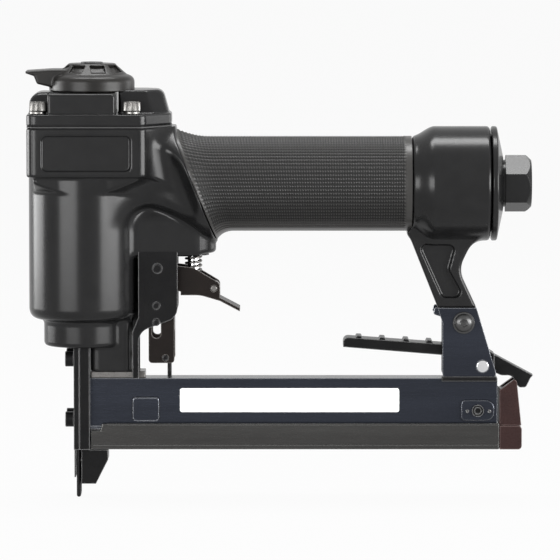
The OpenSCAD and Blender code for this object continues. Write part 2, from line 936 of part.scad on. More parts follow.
module trigger_bracket() {
  color([0.16, 0.17, 0.19])
    difference() {
      union() {
        plate_pair([
          [ear_x0, ear_top, 0],
          [ear_x1, ear_top, leg_w],
          [ear_x1, ear_low + ear_r, ear_r],
          [base_x1 + leg_w, ear_low, ear_r],
          [base_x1 + leg_w, rail_top + gap, 0],
          [base_x1, rail_top + gap, 0],
          [base_x1, ear_low, 0],
          [ear_x0, ear_low + ear_r, 0]
        ], ear_t, ear_w);
        translate([ear_x0, -ear_w / 2, ear_low + 2 * ear_r])
          cube([ear_t, ear_w, boss_z - seat - ear_low - 2 * ear_r]);
      }
      cross_pin(pin_d + 2 * run, ear_w + 2 * over, pivot_x, pivot_z);
      for (z = guide_zs)
        cross_pin(guide_d + 2 * run, ear_w + 2 * over, guide_x, z);
    }
}

module trigger_pivot_pin() {
  color([0.5, 0.5, 0.5])
    cross_pin(pin_d, ear_w + 2 * pin_proud, pivot_x, pivot_z);
}

module bracket_pins() {
  color([0.3, 0.3, 0.3])
    for (z = guide_zs)
      cross_pin(guide_d, ear_w + 2 * pin_proud, guide_x, z);
}

trigger_w = 14;
trigger_t = 1.4;
rivet_reach = 23.5;
rivet_drop = 8.8;
rivet_x = pivot_x + rivet_reach;
rivet_z = pivot_z - rivet_drop;
rivet_d = 2.6;
pad_drop = 12.6;
pad_front = 9.6;
pad_rear = 26;
tip_reach = 34.4;
tip_drop = 5.8;
pad_z = pivot_z - pad_drop;
pad_x0 = pivot_x + pad_front;
pad_x1 = pivot_x + pad_rear;
tip_x = pivot_x + tip_reach;
tip_z = pad_z - tip_drop;
trigger_r = 2.2;

pad_rise = 2.4;
pad_bend = 14;
pad_bend_x = (pad_x0 + pad_x1) / 2;
pad_bend_z = pad_z + pad_rise;

module trigger() {
  color([0.2, 0.17, 0.15])
    difference() {
      union() {
        plate_pair([
          [pivot_x - pin_d, pivot_z + pin_d / 2, trigger_r],
          [valve_x, pivot_z, pin_d],
          [pad_x1, rivet_z + trigger_r, trigger_r],
          [pad_x1, pad_z, 0],
          [pad_bend_x, pad_bend_z, pad_bend],
          [pad_x0, pad_bend_z, pin_d],
          [pivot_x - pin_d, pivot_z - pin_d, trigger_r]
        ], trigger_t, trigger_w);
        side_plate([
          [pad_x0, pad_bend_z - trigger_t, 0],
          [pad_bend_x, pad_bend_z - trigger_t, pad_bend],
          [pad_x1, pad_z - trigger_t, 0],
          [tip_x, tip_z, 0],
          [tip_x, tip_z + trigger_t, 0],
          [pad_x1, pad_z, 0],
          [pad_bend_x, pad_bend_z, pad_bend],
          [pad_x0, pad_bend_z, 0]
        ], trigger_w);
      }
      cross_pin(pin_d + 2 * run, ear_w, pivot_x, pivot_z);
      cross_pin(rivet_d + 2 * run, ear_w, rivet_x, rivet_z);
    }
}

dog_w = 6;
dog_t = 2.6;
dog_r = 2.3;
dog_bend = 8.6;

module trigger_dog() {
  color([0.25, 0.24, 0.22])
    difference() {
      side_plate([
        [rivet_x + dog_t, rivet_z - dog_t, dog_r],
        [rivet_x + dog_t, dog_top, dog_r],
        [pivot_x + 2 * dog_t, dog_top, 0],
        [pivot_x + 2 * dog_t, dog_top - dog_t, 0],
        [rivet_x - dog_bend, dog_top - dog_t, 0]
      ], dog_w);
      cross_pin(rivet_d + 2 * run, ear_w, rivet_x, rivet_z);
    }
}

module dog_pin() {
  color([0.5, 0.5, 0.5])
    cross_pin(rivet_d, trigger_w + pin_proud, rivet_x, rivet_z);
}

safety_w = boss_d - gap;
safety_t = 1.5;
safety_front = 3.8;
safety_rear = 7;
safety_clear = 6.7;
safety_x0 = pivot_x - safety_front;
safety_x1 = pivot_x + safety_rear;
safety_z = rail_top + safety_clear;
safety_top = guide_zs[1] - guide_d / 2 + over;
safety_r = 1.5;
slot_half = guide_d / 2 + gap;
slot_low = guide_zs[0] - guide_d / 2 - safety_travel - gap;
finger_w = 5;
finger_gap = 5.5;
rivet_in = 3.8;
rivet_up = 2.2;
safety_rivet_x = safety_x1 - rivet_in;
safety_rivet_z = safety_z + rivet_up;

module safety_plate() {
  color([0.22, 0.18, 0.16])
    difference() {
      union() {
        plate_pair([
          [safety_x0, safety_z, safety_r],
          [safety_x1, safety_z, safety_r],
          [safety_x1, safety_top, safety_r],
          [safety_x0, safety_top, safety_r]
        ], safety_t, safety_w);
        translate([safety_x1 - safety_t, -safety_w / 2 + safety_t / 2, ear_low])
          cube([safety_t, safety_w - safety_t, safety_top - ear_low - safety_r]);
        translate([safety_x1 - safety_t, -finger_w / 2, ear_low])
          cube([safety_t, finger_w, dog_top - dog_t - finger_gap - ear_low]);
      }
      side_plate([
        [guide_x - slot_half, slot_low, slot_half - seat],
        [guide_x + slot_half, slot_low, slot_half - seat],
        [guide_x + slot_half, ear_top, 0],
        [guide_x - slot_half, ear_top, 0]
      ], 2 * ear_w);
      cross_pin(rivet_d + 2 * run, ear_w, safety_rivet_x, safety_rivet_z);
    }
}

module safety_rivet() {
  color([0.4, 0.4, 0.4])
    cross_pin(rivet_d, safety_w + 2 * pin_proud, safety_rivet_x, safety_rivet_z);
}

// Lips that hold the slide on the rail
lip_t = 1;
rail_lip = 0.9;
slide_w = rail_w + 2 * rail_lip + 2 * gap + 2 * slide_t;

// Nose: the driver runs in a channel that the front plate closes
channel_t = driver_t / 2 + driver_gap;
channel_w = driver_w + 2 * driver_gap;
land_t = 0.95;
plate_x1 = -channel_t - land_t;
plate_x0 = plate_x1 - front_t;
lip_wall = 0.3;
lip_x = -channel_t - lip_wall;
low_w = 14;
wedge_l = 7.6;
wedge_x = nose_back + wedge_l;
wedge_z = 10.1;
foot_l = 2.5;
foot_x = nose_back + foot_l;
nose_top = neck_z - seat;
window_z = slide_z + slide_t + over;
window_top = rail_top - rail_t;
nose_screw_in = 3.4;
nose_screw_down = 5.3;
nose_screw_up = 1.7;
nose_screw_y = nose_w / 2 - nose_screw_in;
nose_screw_zs = [neck_z - nose_screw_down, slide_top + nose_screw_up];
nose_head_d = 6.4;
nose_head_h = 3.5;
leaf_t = 0.55;
leaf_w = 10;
leaf_z = 2.5;
wire_x = plate_x0 + leaf_t + gap + wire_d / 2;
wire_leg_y = leaf_w / 2 - wire_d / 2;
wire_y = max(nose_w, slide_w) / 2 + gap + wire_d / 2;
wire_cross_z = slide_z - safety_travel - gap - wire_d;
wire_run_up = 7.4;
wire_behind = 1.3;
wire_run_z = slide_top + wire_run_up;
wire_rear_x = safety_rivet_x + wire_behind;

module nose_body() {
  color([0.15, 0.15, 0.17])
    difference() {
      union() {
        translate([plate_x1, -nose_w / 2, slide_z])
          cube([nose_back - plate_x1, nose_w, nose_top - slide_z]);
        translate([lip_x, -low_w / 2, 0])
          cube([nose_back - lip_x, low_w, slide_z]);
        side_plate([
          [nose_back - over, 0, 0],
          [foot_x, 0, 0],
          [wedge_x, wedge_z, 0],
          [wedge_x, slide_z - gap, 0],
          [nose_back - over, slide_z - gap, 0]
        ], low_w);
      }
      translate([-channel_t, -channel_w / 2, -over])
        cube([2 * channel_t, channel_w, nose_top + 2 * over]);
      translate([plate_x1 - over, -channel_w / 2, slide_z])
        cube([channel_t - plate_x1, channel_w, nose_top]);
      translate([0, -channel_w / 2, window_z])
        cube([2 * nose_back, channel_w, window_top - window_z]);
      wire_slot();
      nose_screw_holes();
    }
}

module nose_screw_holes() {
  for (z = nose_screw_zs)
    for (side = [-1, 1])
      translate([plate_x0 - over, side * nose_screw_y, z])
        rotate([0, 90, 0])
          cylinder(d = guide_d + 2 * run, h = nose_back - plate_x0 + 2 * over);
}

module front_plate() {
  land_w = channel_w - 2 * seat;
  color([0.3, 0.3, 0.31])
    difference() {
      union() {
        translate([plate_x0, -nose_w / 2, slide_z])
          cube([front_t - seat, nose_w, nose_top - slide_z]);
        translate([plate_x0, -land_w / 2, slide_z])
          cube([-channel_t - plate_x0, land_w, nose_top - slide_z]);
        translate([plate_x0, -leaf_w / 2, leaf_z])
          cube([leaf_t, leaf_w, slide_z - leaf_z + over]);
      }
      wire_slot();
      nose_screw_holes();
    }
}

// Room for the safety wire's free end as it rises
module wire_slot() {
  translate([plate_x0 + leaf_t, -wire_leg_y - wire_d / 2 - gap, slide_z - over])
    cube([front_t + over, wire_d + 2 * gap, safety_travel + over + gap]);
}

module nose_screws() {
  color([0.72, 0.7, 0.66])
    for (z = nose_screw_zs)
      for (side = [-1, 1])
        translate([plate_x0 - seat, side * nose_screw_y, z])
          rotate([0, -90, 0])
            cap_screw(guide_d, nose_head_d, nose_head_h, nose_back - plate_x0);
}

module safety_wire() {
  low = -wire_reach + wire_d / 2;
  route = [
    [wire_x, -wire_leg_y, slide_z - over],
    [wire_x, -wire_leg_y, low],
    [wire_x, wire_leg_y, low],
    [wire_x, wire_leg_y, wire_cross_z],
    [wire_x, wire_y, wire_cross_z],
    [wire_x, wire_y, wire_run_z],
    [wire_rear_x, wire_y, wire_run_z],
    [wire_rear_x, wire_y, safety_rivet_z],
    [wire_rear_x, safety_w / 2 + wire_d / 2, safety_rivet_z]
  ];
  color([0.35, 0.35, 0.36])
    difference() {
      union() {
        for (i = [0:len(route) - 2])
          rod(route[i], route[i + 1], wire_d);
      }
      cross_pin(rivet_d + 2 * run, safety_w + 4 * pin_proud, safety_rivet_x, safety_rivet_z);
    }
}

// Magazine
rail_x0 = nose_back + seat;
rail_z = slide_top - lip_t - gap - rail_lip;
slide_x0 = nose_back + gap;
slide_proud = 0.8;
slide_x1 = rail_end + slide_proud;
notch_h = 3;
notch_l = 4;
notch_lean = 1;
pad_x = 20.6;
pad_l = 10.9;
pad_h = 9.6;
pad_t = 0.8;
pad_r = 1.5;
tab_t = base_clear - 2 * seat;
stop_l = 13.9;
stop_h = 8.8;
stop_t = 1.2;
stop_in = 1.3;
stop_x = rail_end - stop_in - stop_l;
stop_z = slide_top + over;
stop_head_d = 5;
stop_head_h = 1;
core_t = 1;
core_z = slide_z + slide_t + seat;
core_gap = 4.2;
core_top = window_top - core_gap;
core_slot = 1.8;
core_x1 = slide_x1 - over;

module channel(width, height, thickness, x0, x1) {
  translate([x0, -width / 2, 0])
    difference() {
      cube([x1 - x0, width, height]);
      translate([-over, thickness, thickness])
        cube([x1 - x0 + 2 * over, width - 2 * thickness, height]);
    }
}

module magazine_rail() {
  color([0.17, 0.18, 0.2])
    difference() {
      union() {
        translate([0, 0, rail_top])
          mirror([0, 0, 1])
            channel(rail_w, rail_top - rail_z, rail_t, rail_x0, rail_end);
        for (side = [-1, 1])
          translate([rail_x0, side * (rail_w + rail_lip - rail_t) / 2 - (rail_t + rail_lip) / 2, rail_z])
            cube([rail_end - rail_x0, rail_t + rail_lip, rail_lip]);
        side_plate([
          [pad_x, slide_top + over, pad_r],
          [pad_x + pad_l, slide_top + over, pad_r],
          [pad_x + pad_l, slide_top + over + pad_h, pad_r],
          [pad_x, slide_top + over + pad_h, pad_r]
        ], pad_t + rail_t / 2, -rail_w / 2 + rail_t / 4 - pad_t / 2);
      }
      translate([stop_x + stop_l / 2, 0, stop_z + stop_h / 2])
        rotate([90, 0, 0])
          cylinder(d = guide_d + 2 * run, h = rail_w);
    }
}

module rail_tab() {
  color([0.6, 0.6, 0.6])
    translate([base_x0, -rail_w / 2, rail_top + seat])
      cube([base_x1 + 2 * leg_w - base_x0, rail_w, tab_t]);
}

module stop_plate() {
  color([0.17, 0.18, 0.2])
    difference() {
      side_plate([
        [stop_x, stop_z, pad_r],
        [stop_x + stop_l, stop_z, pad_r],
        [stop_x + stop_l, stop_z + stop_h, pad_r],
        [stop_x, stop_z + stop_h, pad_r]
      ], stop_t, -rail_w / 2 - stop_t / 2 - seat);
      cross_pin(guide_d + 2 * run, 2 * rail_w, stop_x + stop_l / 2, stop_z + stop_h / 2);
    }
}

module stop_screw() {
  color([0.3, 0.3, 0.32])
    translate([stop_x + stop_l / 2, -rail_w / 2 - stop_t - 2 * seat, stop_z + stop_h / 2])
      rotate([90, 0, 0])
        cap_screw(guide_d, stop_head_d, stop_head_h, stop_t + rail_t);
}

module magazine_slide() {
  color([0.17, 0.18, 0.2])
    difference() {
      union() {
        translate([0, 0, slide_z])
          channel(slide_w, slide_h, slide_t, slide_x0, slide_x1);
        for (side = [-1, 1])
          translate([
            slide_x0,
            side * (slide_w - slide_t - lip_t) / 2 - (slide_t + lip_t) / 2,
            slide_top - lip_t
          ])
            cube([slide_x1 - slide_x0, slide_t + lip_t, lip_t]);
      }
      side_plate([
        [slide_x0 - over, slide_top - notch_h, 0],
        [slide_x0 + notch_l, slide_top - notch_h, 0],
        [slide_x0 + notch_l + notch_lean, slide_top + over, 0],
        [slide_x0 - over, slide_top + over, 0]
      ], 2 * slide_w);
    }
}

module staple_core() {
  color([0.5, 0.5, 0.52])
    difference() {
      translate([0, 0, core_top])
        mirror([0, 0, 1])
          channel(core_w, core_top - core_z, core_t, slide_x0, core_x1);
      translate([slide_x0 + core_w, -core_slot / 2, core_top - 2 * core_t])
        cube([core_x1 - slide_x0 - 2 * core_w, core_slot, 3 * core_t]);
    }
}

// End cap of the slide: two cheeks stand on each side of the latch's hook
end_x0 = slide_x1 + seat;
end_x1 = end_x0 + end_block_l;
cheek_drop = 0.4;
cheek_h = 5;
cheek_in = 3;
hook_drop = 4.2;
cheek_top = rail_top - cheek_drop;
cheek_low = rail_top - cheek_h;
cheek_x = end_x1 - cheek_in;
hook_z = rail_top - hook_drop;
hook_w = 7;
cheek_gap = hook_w + 2 * gap;
end_r = 1.5;

module slide_end_cap() {
  color([0.24, 0.18, 0.15])
    difference() {
      union() {
        side_plate([
          [end_x0, slide_top - over, 0],
          [end_x1 - seat, slide_top - over, 0],
          [cheek_x + over, cheek_top - over, pin_proud],
          [cheek_x, cheek_top, pin_proud],
          [end_x0, cheek_low, 0]
        ], rail_w);
        side_plate([
          [end_x0, slide_z, 0],
          [end_x1, slide_z, end_r],
          [end_x1, slide_top - over, end_r],
          [end_x0, slide_top - over, 0]
        ], slide_w);
      }
      translate([end_x0 - over, -cheek_gap / 2, hook_z - gap])
        cube([end_block_l + 2 * over, cheek_gap, rail_top]);
      x_bar(rod_d + 2 * run, end_block_l / 2 + over, end_x0 - over, rod_z);
    }
}

// Pusher, its rod and its spring inside the hollow core
rod_d = 2;
rod_drop = 3.4;
rod_z = core_top - rod_drop;
pusher_start = 10;
pusher_x = slide_x0 + pusher_start;
pusher_l = 16;
pusher_t = 0.9;
pusher_lift = 4;
pusher_low = core_z + pusher_lift;
tab_h = 5;
coil_d = 4;
coil_turns = 16;
fine_wire = 0.5;

module pusher() {
  width = core_w + 2 * gap + 2 * pusher_t;
  top = core_top + gap + pusher_t;
  color([0.6, 0.6, 0.62])
    difference() {
      union() {
        translate([0, 0, top])
          mirror([0, 0, 1])
            channel(width, top - pusher_low, pusher_t, pusher_x, pusher_x + pusher_l);
        translate([pusher_x, -core_slot / 2 + gap, core_top + gap - tab_h])
          cube([pusher_l / 2, core_slot - 2 * gap, tab_h + pusher_t]);
        x_bar(coil_d, pusher_l / 2, pusher_x, rod_z);
      }
      x_bar(rod_d + 2 * run, pusher_l, pusher_x - over, rod_z);
    }
}

module pusher_rod() {
  color([0.65, 0.65, 0.66])
    x_bar(rod_d, end_x0 + end_block_l / 2 - seat - pusher_x, pusher_x, rod_z);
}

module pusher_spring() {
  color([0.7, 0.7, 0.7])
    translate([pusher_x + pusher_l / 2 + seat, 0, rod_z])
      rotate([0, 90, 0])
        coil(coil_d, fine_wire, core_x1 - pusher_x - pusher_l / 2, coil_turns);
}

// Rear bracket and latch
bracket_screw_d = 5;
bracket_screw_in = 14.3;
bracket_screw_drop = 6.3;
bracket_screw_x = rail_end - bracket_screw_in;
bracket_screw_z = bracket_top - bracket_screw_drop;
button_d = 9.2;
button_h = 2.6;
latch_in = 6.3;
latch_rise = 5.1;
latch_x = rail_end - latch_in;
latch_z = rail_top + latch_rise;
latch_d = 5;
foot_in = 2.1;
bracket_foot_x = bracket_x0 + foot_in;
bracket_r = 2;

module rear_bracket() {
  color([0.17, 0.18, 0.2])
    difference() {
      union() {
        plate_pair([
          [bracket_x0, bracket_top - seat, 0],
          [bracket_foot_x, bracket_top - tongue_l / 2, 0],
          [bracket_foot_x, rail_top + seat, bracket_r],
          [rail_end, rail_top + seat, bracket_r],
          [bracket_x1 + bracket_r, bracket_top - tongue_l / 2, 0],
          [bracket_x1, bracket_top - seat, 0]
        ], bracket_t, strut_t);
        translate([bracket_foot_x + bracket_r, -strut_t / 2 + seat, rail_top + seat])
          cube([rail_end - bracket_foot_x - 2 * bracket_r, strut_t - 2 * seat, bracket_t]);
      }
      cross_pin(bracket_screw_d + 2 * run, strut_t + 2 * over, bracket_screw_x, bracket_screw_z);
      cross_pin(latch_d + 2 * run, strut_t + 2 * over, latch_x, latch_z);
    }
}

module bracket_screw() {
  color([0.7, 0.68, 0.64])
    translate([bracket_screw_x, -strut_t / 2 - seat, bracket_screw_z])
      rotate([90, 0, 0])
        cap_screw(bracket_screw_d, button_d, button_h, strut_t);
}

latch_w = strut_t - 2 * bracket_t - 2 * gap;
arm_l = 58.4;
arm_t = 4.2;
arm_rise = 8;
arm_root = 4.6;
tail_reach = 21.4;
tail_drop = 4.2;
bulb_r = 3;

module latch_lever() {
  color([0.14, 0.14, 0.15])
    difference() {
      union() {
        side_plate([
          [latch_x - arm_l, latch_z + arm_rise, 0],
          [bracket_foot_x, latch_z + arm_root, 0],
          [latch_x - latch_d, latch_z, 0],
          [latch_x, latch_z - latch_d / 2 - over / 2, latch_d / 2],
          [latch_x + latch_d, latch_z - over, 0],
          [latch_x + latch_d, latch_z + latch_d, 0],
          [latch_x, latch_z + arm_rise, arm_t],
          [bracket_foot_x, latch_z + arm_root + arm_t, 0],
          [latch_x - arm_l, latch_z + arm_rise + arm_t, arm_t / 2]
        ], latch_w);
        side_plate([
          [latch_x + over, latch_z - over, 0],
          [latch_x + latch_d + bulb_r, latch_z - tail_drop, bulb_r],
          [latch_x + tail_reach - 3 * bulb_r, latch_z - tail_drop, bulb_r],
          [latch_x + tail_reach - 2 * bulb_r, hook_z, bulb_r / 2],
          [latch_x + tail_reach - bulb_r, hook_z, bulb_r / 2],
          [latch_x + tail_reach - over, latch_z - tail_drop - over, bulb_r / 2],
          [latch_x + tail_reach, latch_z - tail_drop, 0],
          [latch_x + latch_d / 2, latch_z + latch_d + over, 0]
        ], hook_w);
      }
      cross_pin(latch_d + 2 * run, strut_t, latch_x, latch_z);
    }
}

module latch_pin() {
  color([0.85, 0.85, 0.85])
    cross_pin(latch_d, strut_t + pin_proud, latch_x, latch_z);
}

housing();
handle_grip();
cylinder_cap();
cap_gasket();
cap_screws();
cap_washers();
cylinder_sleeve();
sleeve_ring();
bumper();
head_valve();
head_valve_spring();
piston();
piston_ring();
driver_blade();
exhaust_deflector();
deflector_screw();
end_cap();
end_cap_ring();
air_inlet();
valve_bush();
valve_stem();
valve_spring();
trigger_bracket();
trigger_pivot_pin();
bracket_pins();
trigger();
trigger_dog();
dog_pin();
safety_plate();
safety_wire();
safety_rivet();
nose_body();
front_plate();
nose_screws();
magazine_rail();
rail_tab();
stop_plate();
stop_screw();
magazine_slide();
staple_core();
slide_end_cap();
pusher();
pusher_rod();
pusher_spring();
rear_bracket();
bracket_screw();
latch_lever();
latch_pin();
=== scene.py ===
"""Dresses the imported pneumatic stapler: cast housing, woven grip, sheet-metal magazine and studio."""

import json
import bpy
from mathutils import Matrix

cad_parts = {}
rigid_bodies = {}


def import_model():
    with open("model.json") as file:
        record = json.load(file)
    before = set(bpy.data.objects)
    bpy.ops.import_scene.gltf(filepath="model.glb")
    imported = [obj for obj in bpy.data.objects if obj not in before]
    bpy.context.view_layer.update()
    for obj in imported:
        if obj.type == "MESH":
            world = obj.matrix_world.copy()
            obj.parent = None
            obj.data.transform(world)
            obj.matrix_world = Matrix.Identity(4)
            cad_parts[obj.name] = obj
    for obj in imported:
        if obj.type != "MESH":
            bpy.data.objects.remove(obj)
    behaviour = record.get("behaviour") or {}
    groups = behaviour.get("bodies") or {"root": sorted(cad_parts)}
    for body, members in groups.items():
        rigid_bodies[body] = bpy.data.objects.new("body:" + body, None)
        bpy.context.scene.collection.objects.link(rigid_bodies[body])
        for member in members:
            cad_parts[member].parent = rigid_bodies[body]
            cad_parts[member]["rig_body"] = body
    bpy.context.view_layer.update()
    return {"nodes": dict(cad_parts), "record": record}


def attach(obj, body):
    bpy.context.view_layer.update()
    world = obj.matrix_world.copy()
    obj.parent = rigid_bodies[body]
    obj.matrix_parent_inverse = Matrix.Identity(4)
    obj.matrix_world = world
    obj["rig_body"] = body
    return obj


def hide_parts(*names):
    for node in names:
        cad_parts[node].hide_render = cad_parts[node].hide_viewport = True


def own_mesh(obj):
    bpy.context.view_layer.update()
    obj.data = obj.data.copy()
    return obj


bl_info = {
    "name": "Pneumatic stapler dresser",
    "version": (1, 0, 0),
    "blender": (4, 5, 0),
    "location": "View3D > Sidebar > Stapler",
    "description": "Builds the visible surfaces of the stapler around its packed frame",
    "category": "Object",
}

import bmesh
import bpy
import numpy as np
from bpy.props import FloatProperty, FloatVectorProperty, IntProperty, PointerProperty
from mathutils import Vector

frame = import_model()
MM = 0.001


# Meshes from arrays


def build(name, points, faces, normals=None, sharp=None):
    """A mesh object from points in millimetres and a list of face arrays, one array for each corner count."""
    if enclosed(np.asarray(points), faces) < 0:
        faces = [f[:, ::-1] for f in faces]
    loops = np.concatenate([f.ravel() for f in faces]).astype(np.int32)
    counts = np.concatenate([np.full(len(f), f.shape[1]) for f in faces])
    starts = np.concatenate([[0], np.cumsum(counts)[:-1]]).astype(np.int32)
    mesh = bpy.data.meshes.new(name)
    mesh.vertices.add(len(points))
    mesh.vertices.foreach_set("co", (np.asarray(points) * MM).astype(np.float32).ravel())
    mesh.loops.add(len(loops))
    mesh.loops.foreach_set("vertex_index", loops)
    mesh.polygons.add(len(counts))
    mesh.polygons.foreach_set("loop_start", starts)
    mesh.update(calc_edges=True)
    mesh.validate()
    mesh.polygons.foreach_set("use_smooth", np.ones(len(mesh.polygons), bool))
    if normals is not None:
        mesh.normals_split_custom_set_from_vertices(normals.astype(np.float32))
    if sharp is not None:
        mesh.set_sharp_from_angle(angle=np.radians(sharp))
    piece = bpy.data.objects.new(name, mesh)
    bpy.context.scene.collection.objects.link(piece)
    return piece


def enclosed(points, faces):
    """Six times the enclosed volume: the sum of p0 . (p1 x p2) over each face's fan of triangles."""
    total = 0.0
    for f in faces:
        corner = points[f]
        fan = np.cross(corner[:, 1:-1], corner[:, 2:])
        total += (corner[:, :1] * fan).sum()
    return total


def ring_faces(rings, count, closed=True):
    """Quads between neighbouring rings of count points each, as index arrays."""
    i = np.arange(rings * count).reshape(rings, count)
    j = np.roll(i, -1, axis=1) if closed else i[:, 1:]
    i = i if closed else i[:, :-1]
    return np.stack([i[:-1], j[:-1], j[1:], i[1:]], -1).reshape(-1, 4)


def rounded(corners, steps=5):
    """An outline whose corners [a, b, r] are arcs with their centres at p + bisector r / sin(half)."""
    c = np.array(corners, float)
    p, r = c[:, :2], c[:, 2]
    u = np.roll(p, 1, 0) - p
    v = np.roll(p, -1, 0) - p
    u /= np.linalg.norm(u, axis=1)[:, None]
    v /= np.linalg.norm(v, axis=1)[:, None]
    half = np.arccos(np.clip((u * v).sum(1), -1, 1)) / 2
    mid = u + v
    mid /= np.linalg.norm(mid, axis=1)[:, None]
    centre = p + mid * (r / np.sin(half))[:, None]
    start = p + u * (r / np.tan(half))[:, None] - centre
    turn = -np.sign(u[:, 0] * v[:, 1] - u[:, 1] * v[:, 0]) * (np.pi - 2 * half)
    t = turn[:, None] * np.linspace(0, 1, steps + 1)
    cos, sin = np.cos(t), np.sin(t)
    a = centre[:, 0, None] + start[:, 0, None] * cos - start[:, 1, None] * sin
    b = centre[:, 1, None] + start[:, 0, None] * sin + start[:, 1, None] * cos
    line = np.stack([a, b], -1).reshape(-1, 2)
    keep = np.linalg.norm(line - np.roll(line, 1, 0), axis=1) > 1e-3
    line = line[keep]
    x, y = line.T
    area = (x * np.roll(y, -1) - y * np.roll(x, -1)).sum()
    return line if area > 0 else line[::-1]


def outward(line):
    """Mitred outward normals of a counter-clockwise outline: (n1 + n2) / (1 + n1 . n2)."""
    e = np.roll(line, -1, 0) - line
    e /= np.linalg.norm(e, axis=1)[:, None]
    n2 = np.stack([e[:, 1], -e[:, 0]], 1)
    n1 = np.roll(n2, 1, 0)
    return (n1 + n2) / (1 + np.maximum((n1 * n2).sum(1), -0.5))[:, None]


def plate(name, corners, start, end, rim, plane="xz"):
    """A plate with an arc for its rim: at depth rim (1 - cos a) it is pulled in by rim (1 - sin a)."""
    line = rounded(corners)
    n = outward(line)
    a = np.linspace(0, np.pi / 2, 4)
    inset = np.concatenate([rim * (1 - np.sin(a)), rim * (1 - np.sin(a[::-1]))])
    depth = np.concatenate([start + rim * (1 - np.cos(a)), end - rim * (1 - np.cos(a[::-1]))])
    lean = np.concatenate([-np.cos(a), np.cos(a[::-1])])
    face = line[None] - n[None] * inset[:, None, None]
    flat = n / np.linalg.norm(n, axis=1)[:, None]
    out = flat[None] * np.concatenate([np.sin(a), np.sin(a[::-1])])[:, None, None]
    count, rings = len(line), len(depth)
    level = np.repeat(depth, count)
    tilt = np.repeat(lean, count)
    first, second = face.reshape(-1, 2).T
    n1, n2 = out.reshape(-1, 2).T
    places = {"xz": (first, level, second), "yz": (level, first, second)}
    leans = {"xz": (n1, tilt, n2), "yz": (tilt, n1, n2)}
    points, normals = np.stack(places[plane], 1), np.stack(leans[plane], 1)
    low, high = np.arange(count)[None, ::-1], np.arange((rings - 1) * count, rings * count)[None]
    return build(name, points, [ring_faces(rings, count), low, high], normals)


def lathe(name, profile, centre, axis="z", steps=64, wave=None):
    """A profile of [radius, height] turned round Z or Y: (r cos t, r sin t, h). wave(r, t) adds to r."""
    profile = np.array(profile, float)
    t = np.linspace(0, 2 * np.pi, steps, endpoint=False)
    r = np.repeat(profile[:, :1], steps, 1)
    if wave is not None:
        r = r + wave(r, t[None])
    h = np.repeat(profile[:, 1:], steps, 1)
    a, b = r * np.cos(t), r * np.sin(t)
    grid = np.stack([a, b, h] if axis == "z" else [b, h, a], -1)
    points = grid.reshape(-1, 3) + np.array(centre)
    count = len(profile)
    low = np.arange(steps)[None, ::-1]
    high = np.arange((count - 1) * steps, count * steps)[None]
    return build(name, points, [ring_faces(count, steps), low, high], sharp=35)


def coil(name, radius, wire, low, high, turns, centre, axis="z"):
    """A wire wound n turns round Z or X along (R cos a, R sin a, low + (high - low) a / 2 pi n)."""
    bends, sides = 36, 12
    a = np.linspace(0, 2 * np.pi * turns, turns * bends + 1)[:, None]
    s = np.linspace(0, 2 * np.pi, sides, endpoint=False)[None]
    r = radius + wire * np.cos(s)
    u, v = r * np.cos(a), r * np.sin(a)
    h = low + (high - low) * a / (2 * np.pi * turns) + wire * np.sin(s)
    grid = np.stack([u, v, h] if axis == "z" else [h, u, v], -1) + np.array(centre)
    count = len(a)
    low_end = np.arange(sides)[None]
    high_end = np.arange((count - 1) * sides, count * sides)[None, ::-1]
    return build(name, grid.reshape(-1, 3), [ring_faces(count, sides)[:, ::-1], low_end, high_end], sharp=60)


# Cast forms: a distance field on a grid, turned into a smooth skin


def smooth_max(a, b, k):
    """The larger of two fields, with the crossing rounded over a width k."""
    h = np.clip(0.5 + 0.5 * (a - b) / k, 0, 1)
    return a * h + b * (1 - h) + k * h * (1 - h)


def smooth_min(a, b, k):
    """The smaller of two fields, with the crossing filled over a width k."""
    return -smooth_max(-a, -b, k)


def ramp(v, start, width):
    """0 up to start, then a straight rise to 1 over a width."""
    return np.clip((v - start) / width, 0, 1)


def slab(v, low, high):
    """Distance to the layer between two planes."""
    return np.abs(v - (low + high) / 2) - (high - low) / 2


def outline_distance(line, a, b):
    """Signed distance to a closed outline: that of the nearest edge, negative inside."""
    near = np.float32(1e9)
    inside = False
    for p, q in zip(line, np.roll(line, -1, 0)):
        ex, ey = q - p
        wx, wy = a - p[0], b - p[1]
        t = np.clip((wx * ex + wy * ey) / (ex * ex + ey * ey), 0, 1)
        near = np.minimum(near, (wx - t * ex) ** 2 + (wy - t * ey) ** 2)
        above = (p[1] > b) != (q[1] > b)
        crossing = a < ex * (b - p[1]) / (ey if ey else 1e-9) + p[0]
        inside = inside ^ (above & crossing)
    return np.sqrt(near) * np.where(inside, -1, 1)


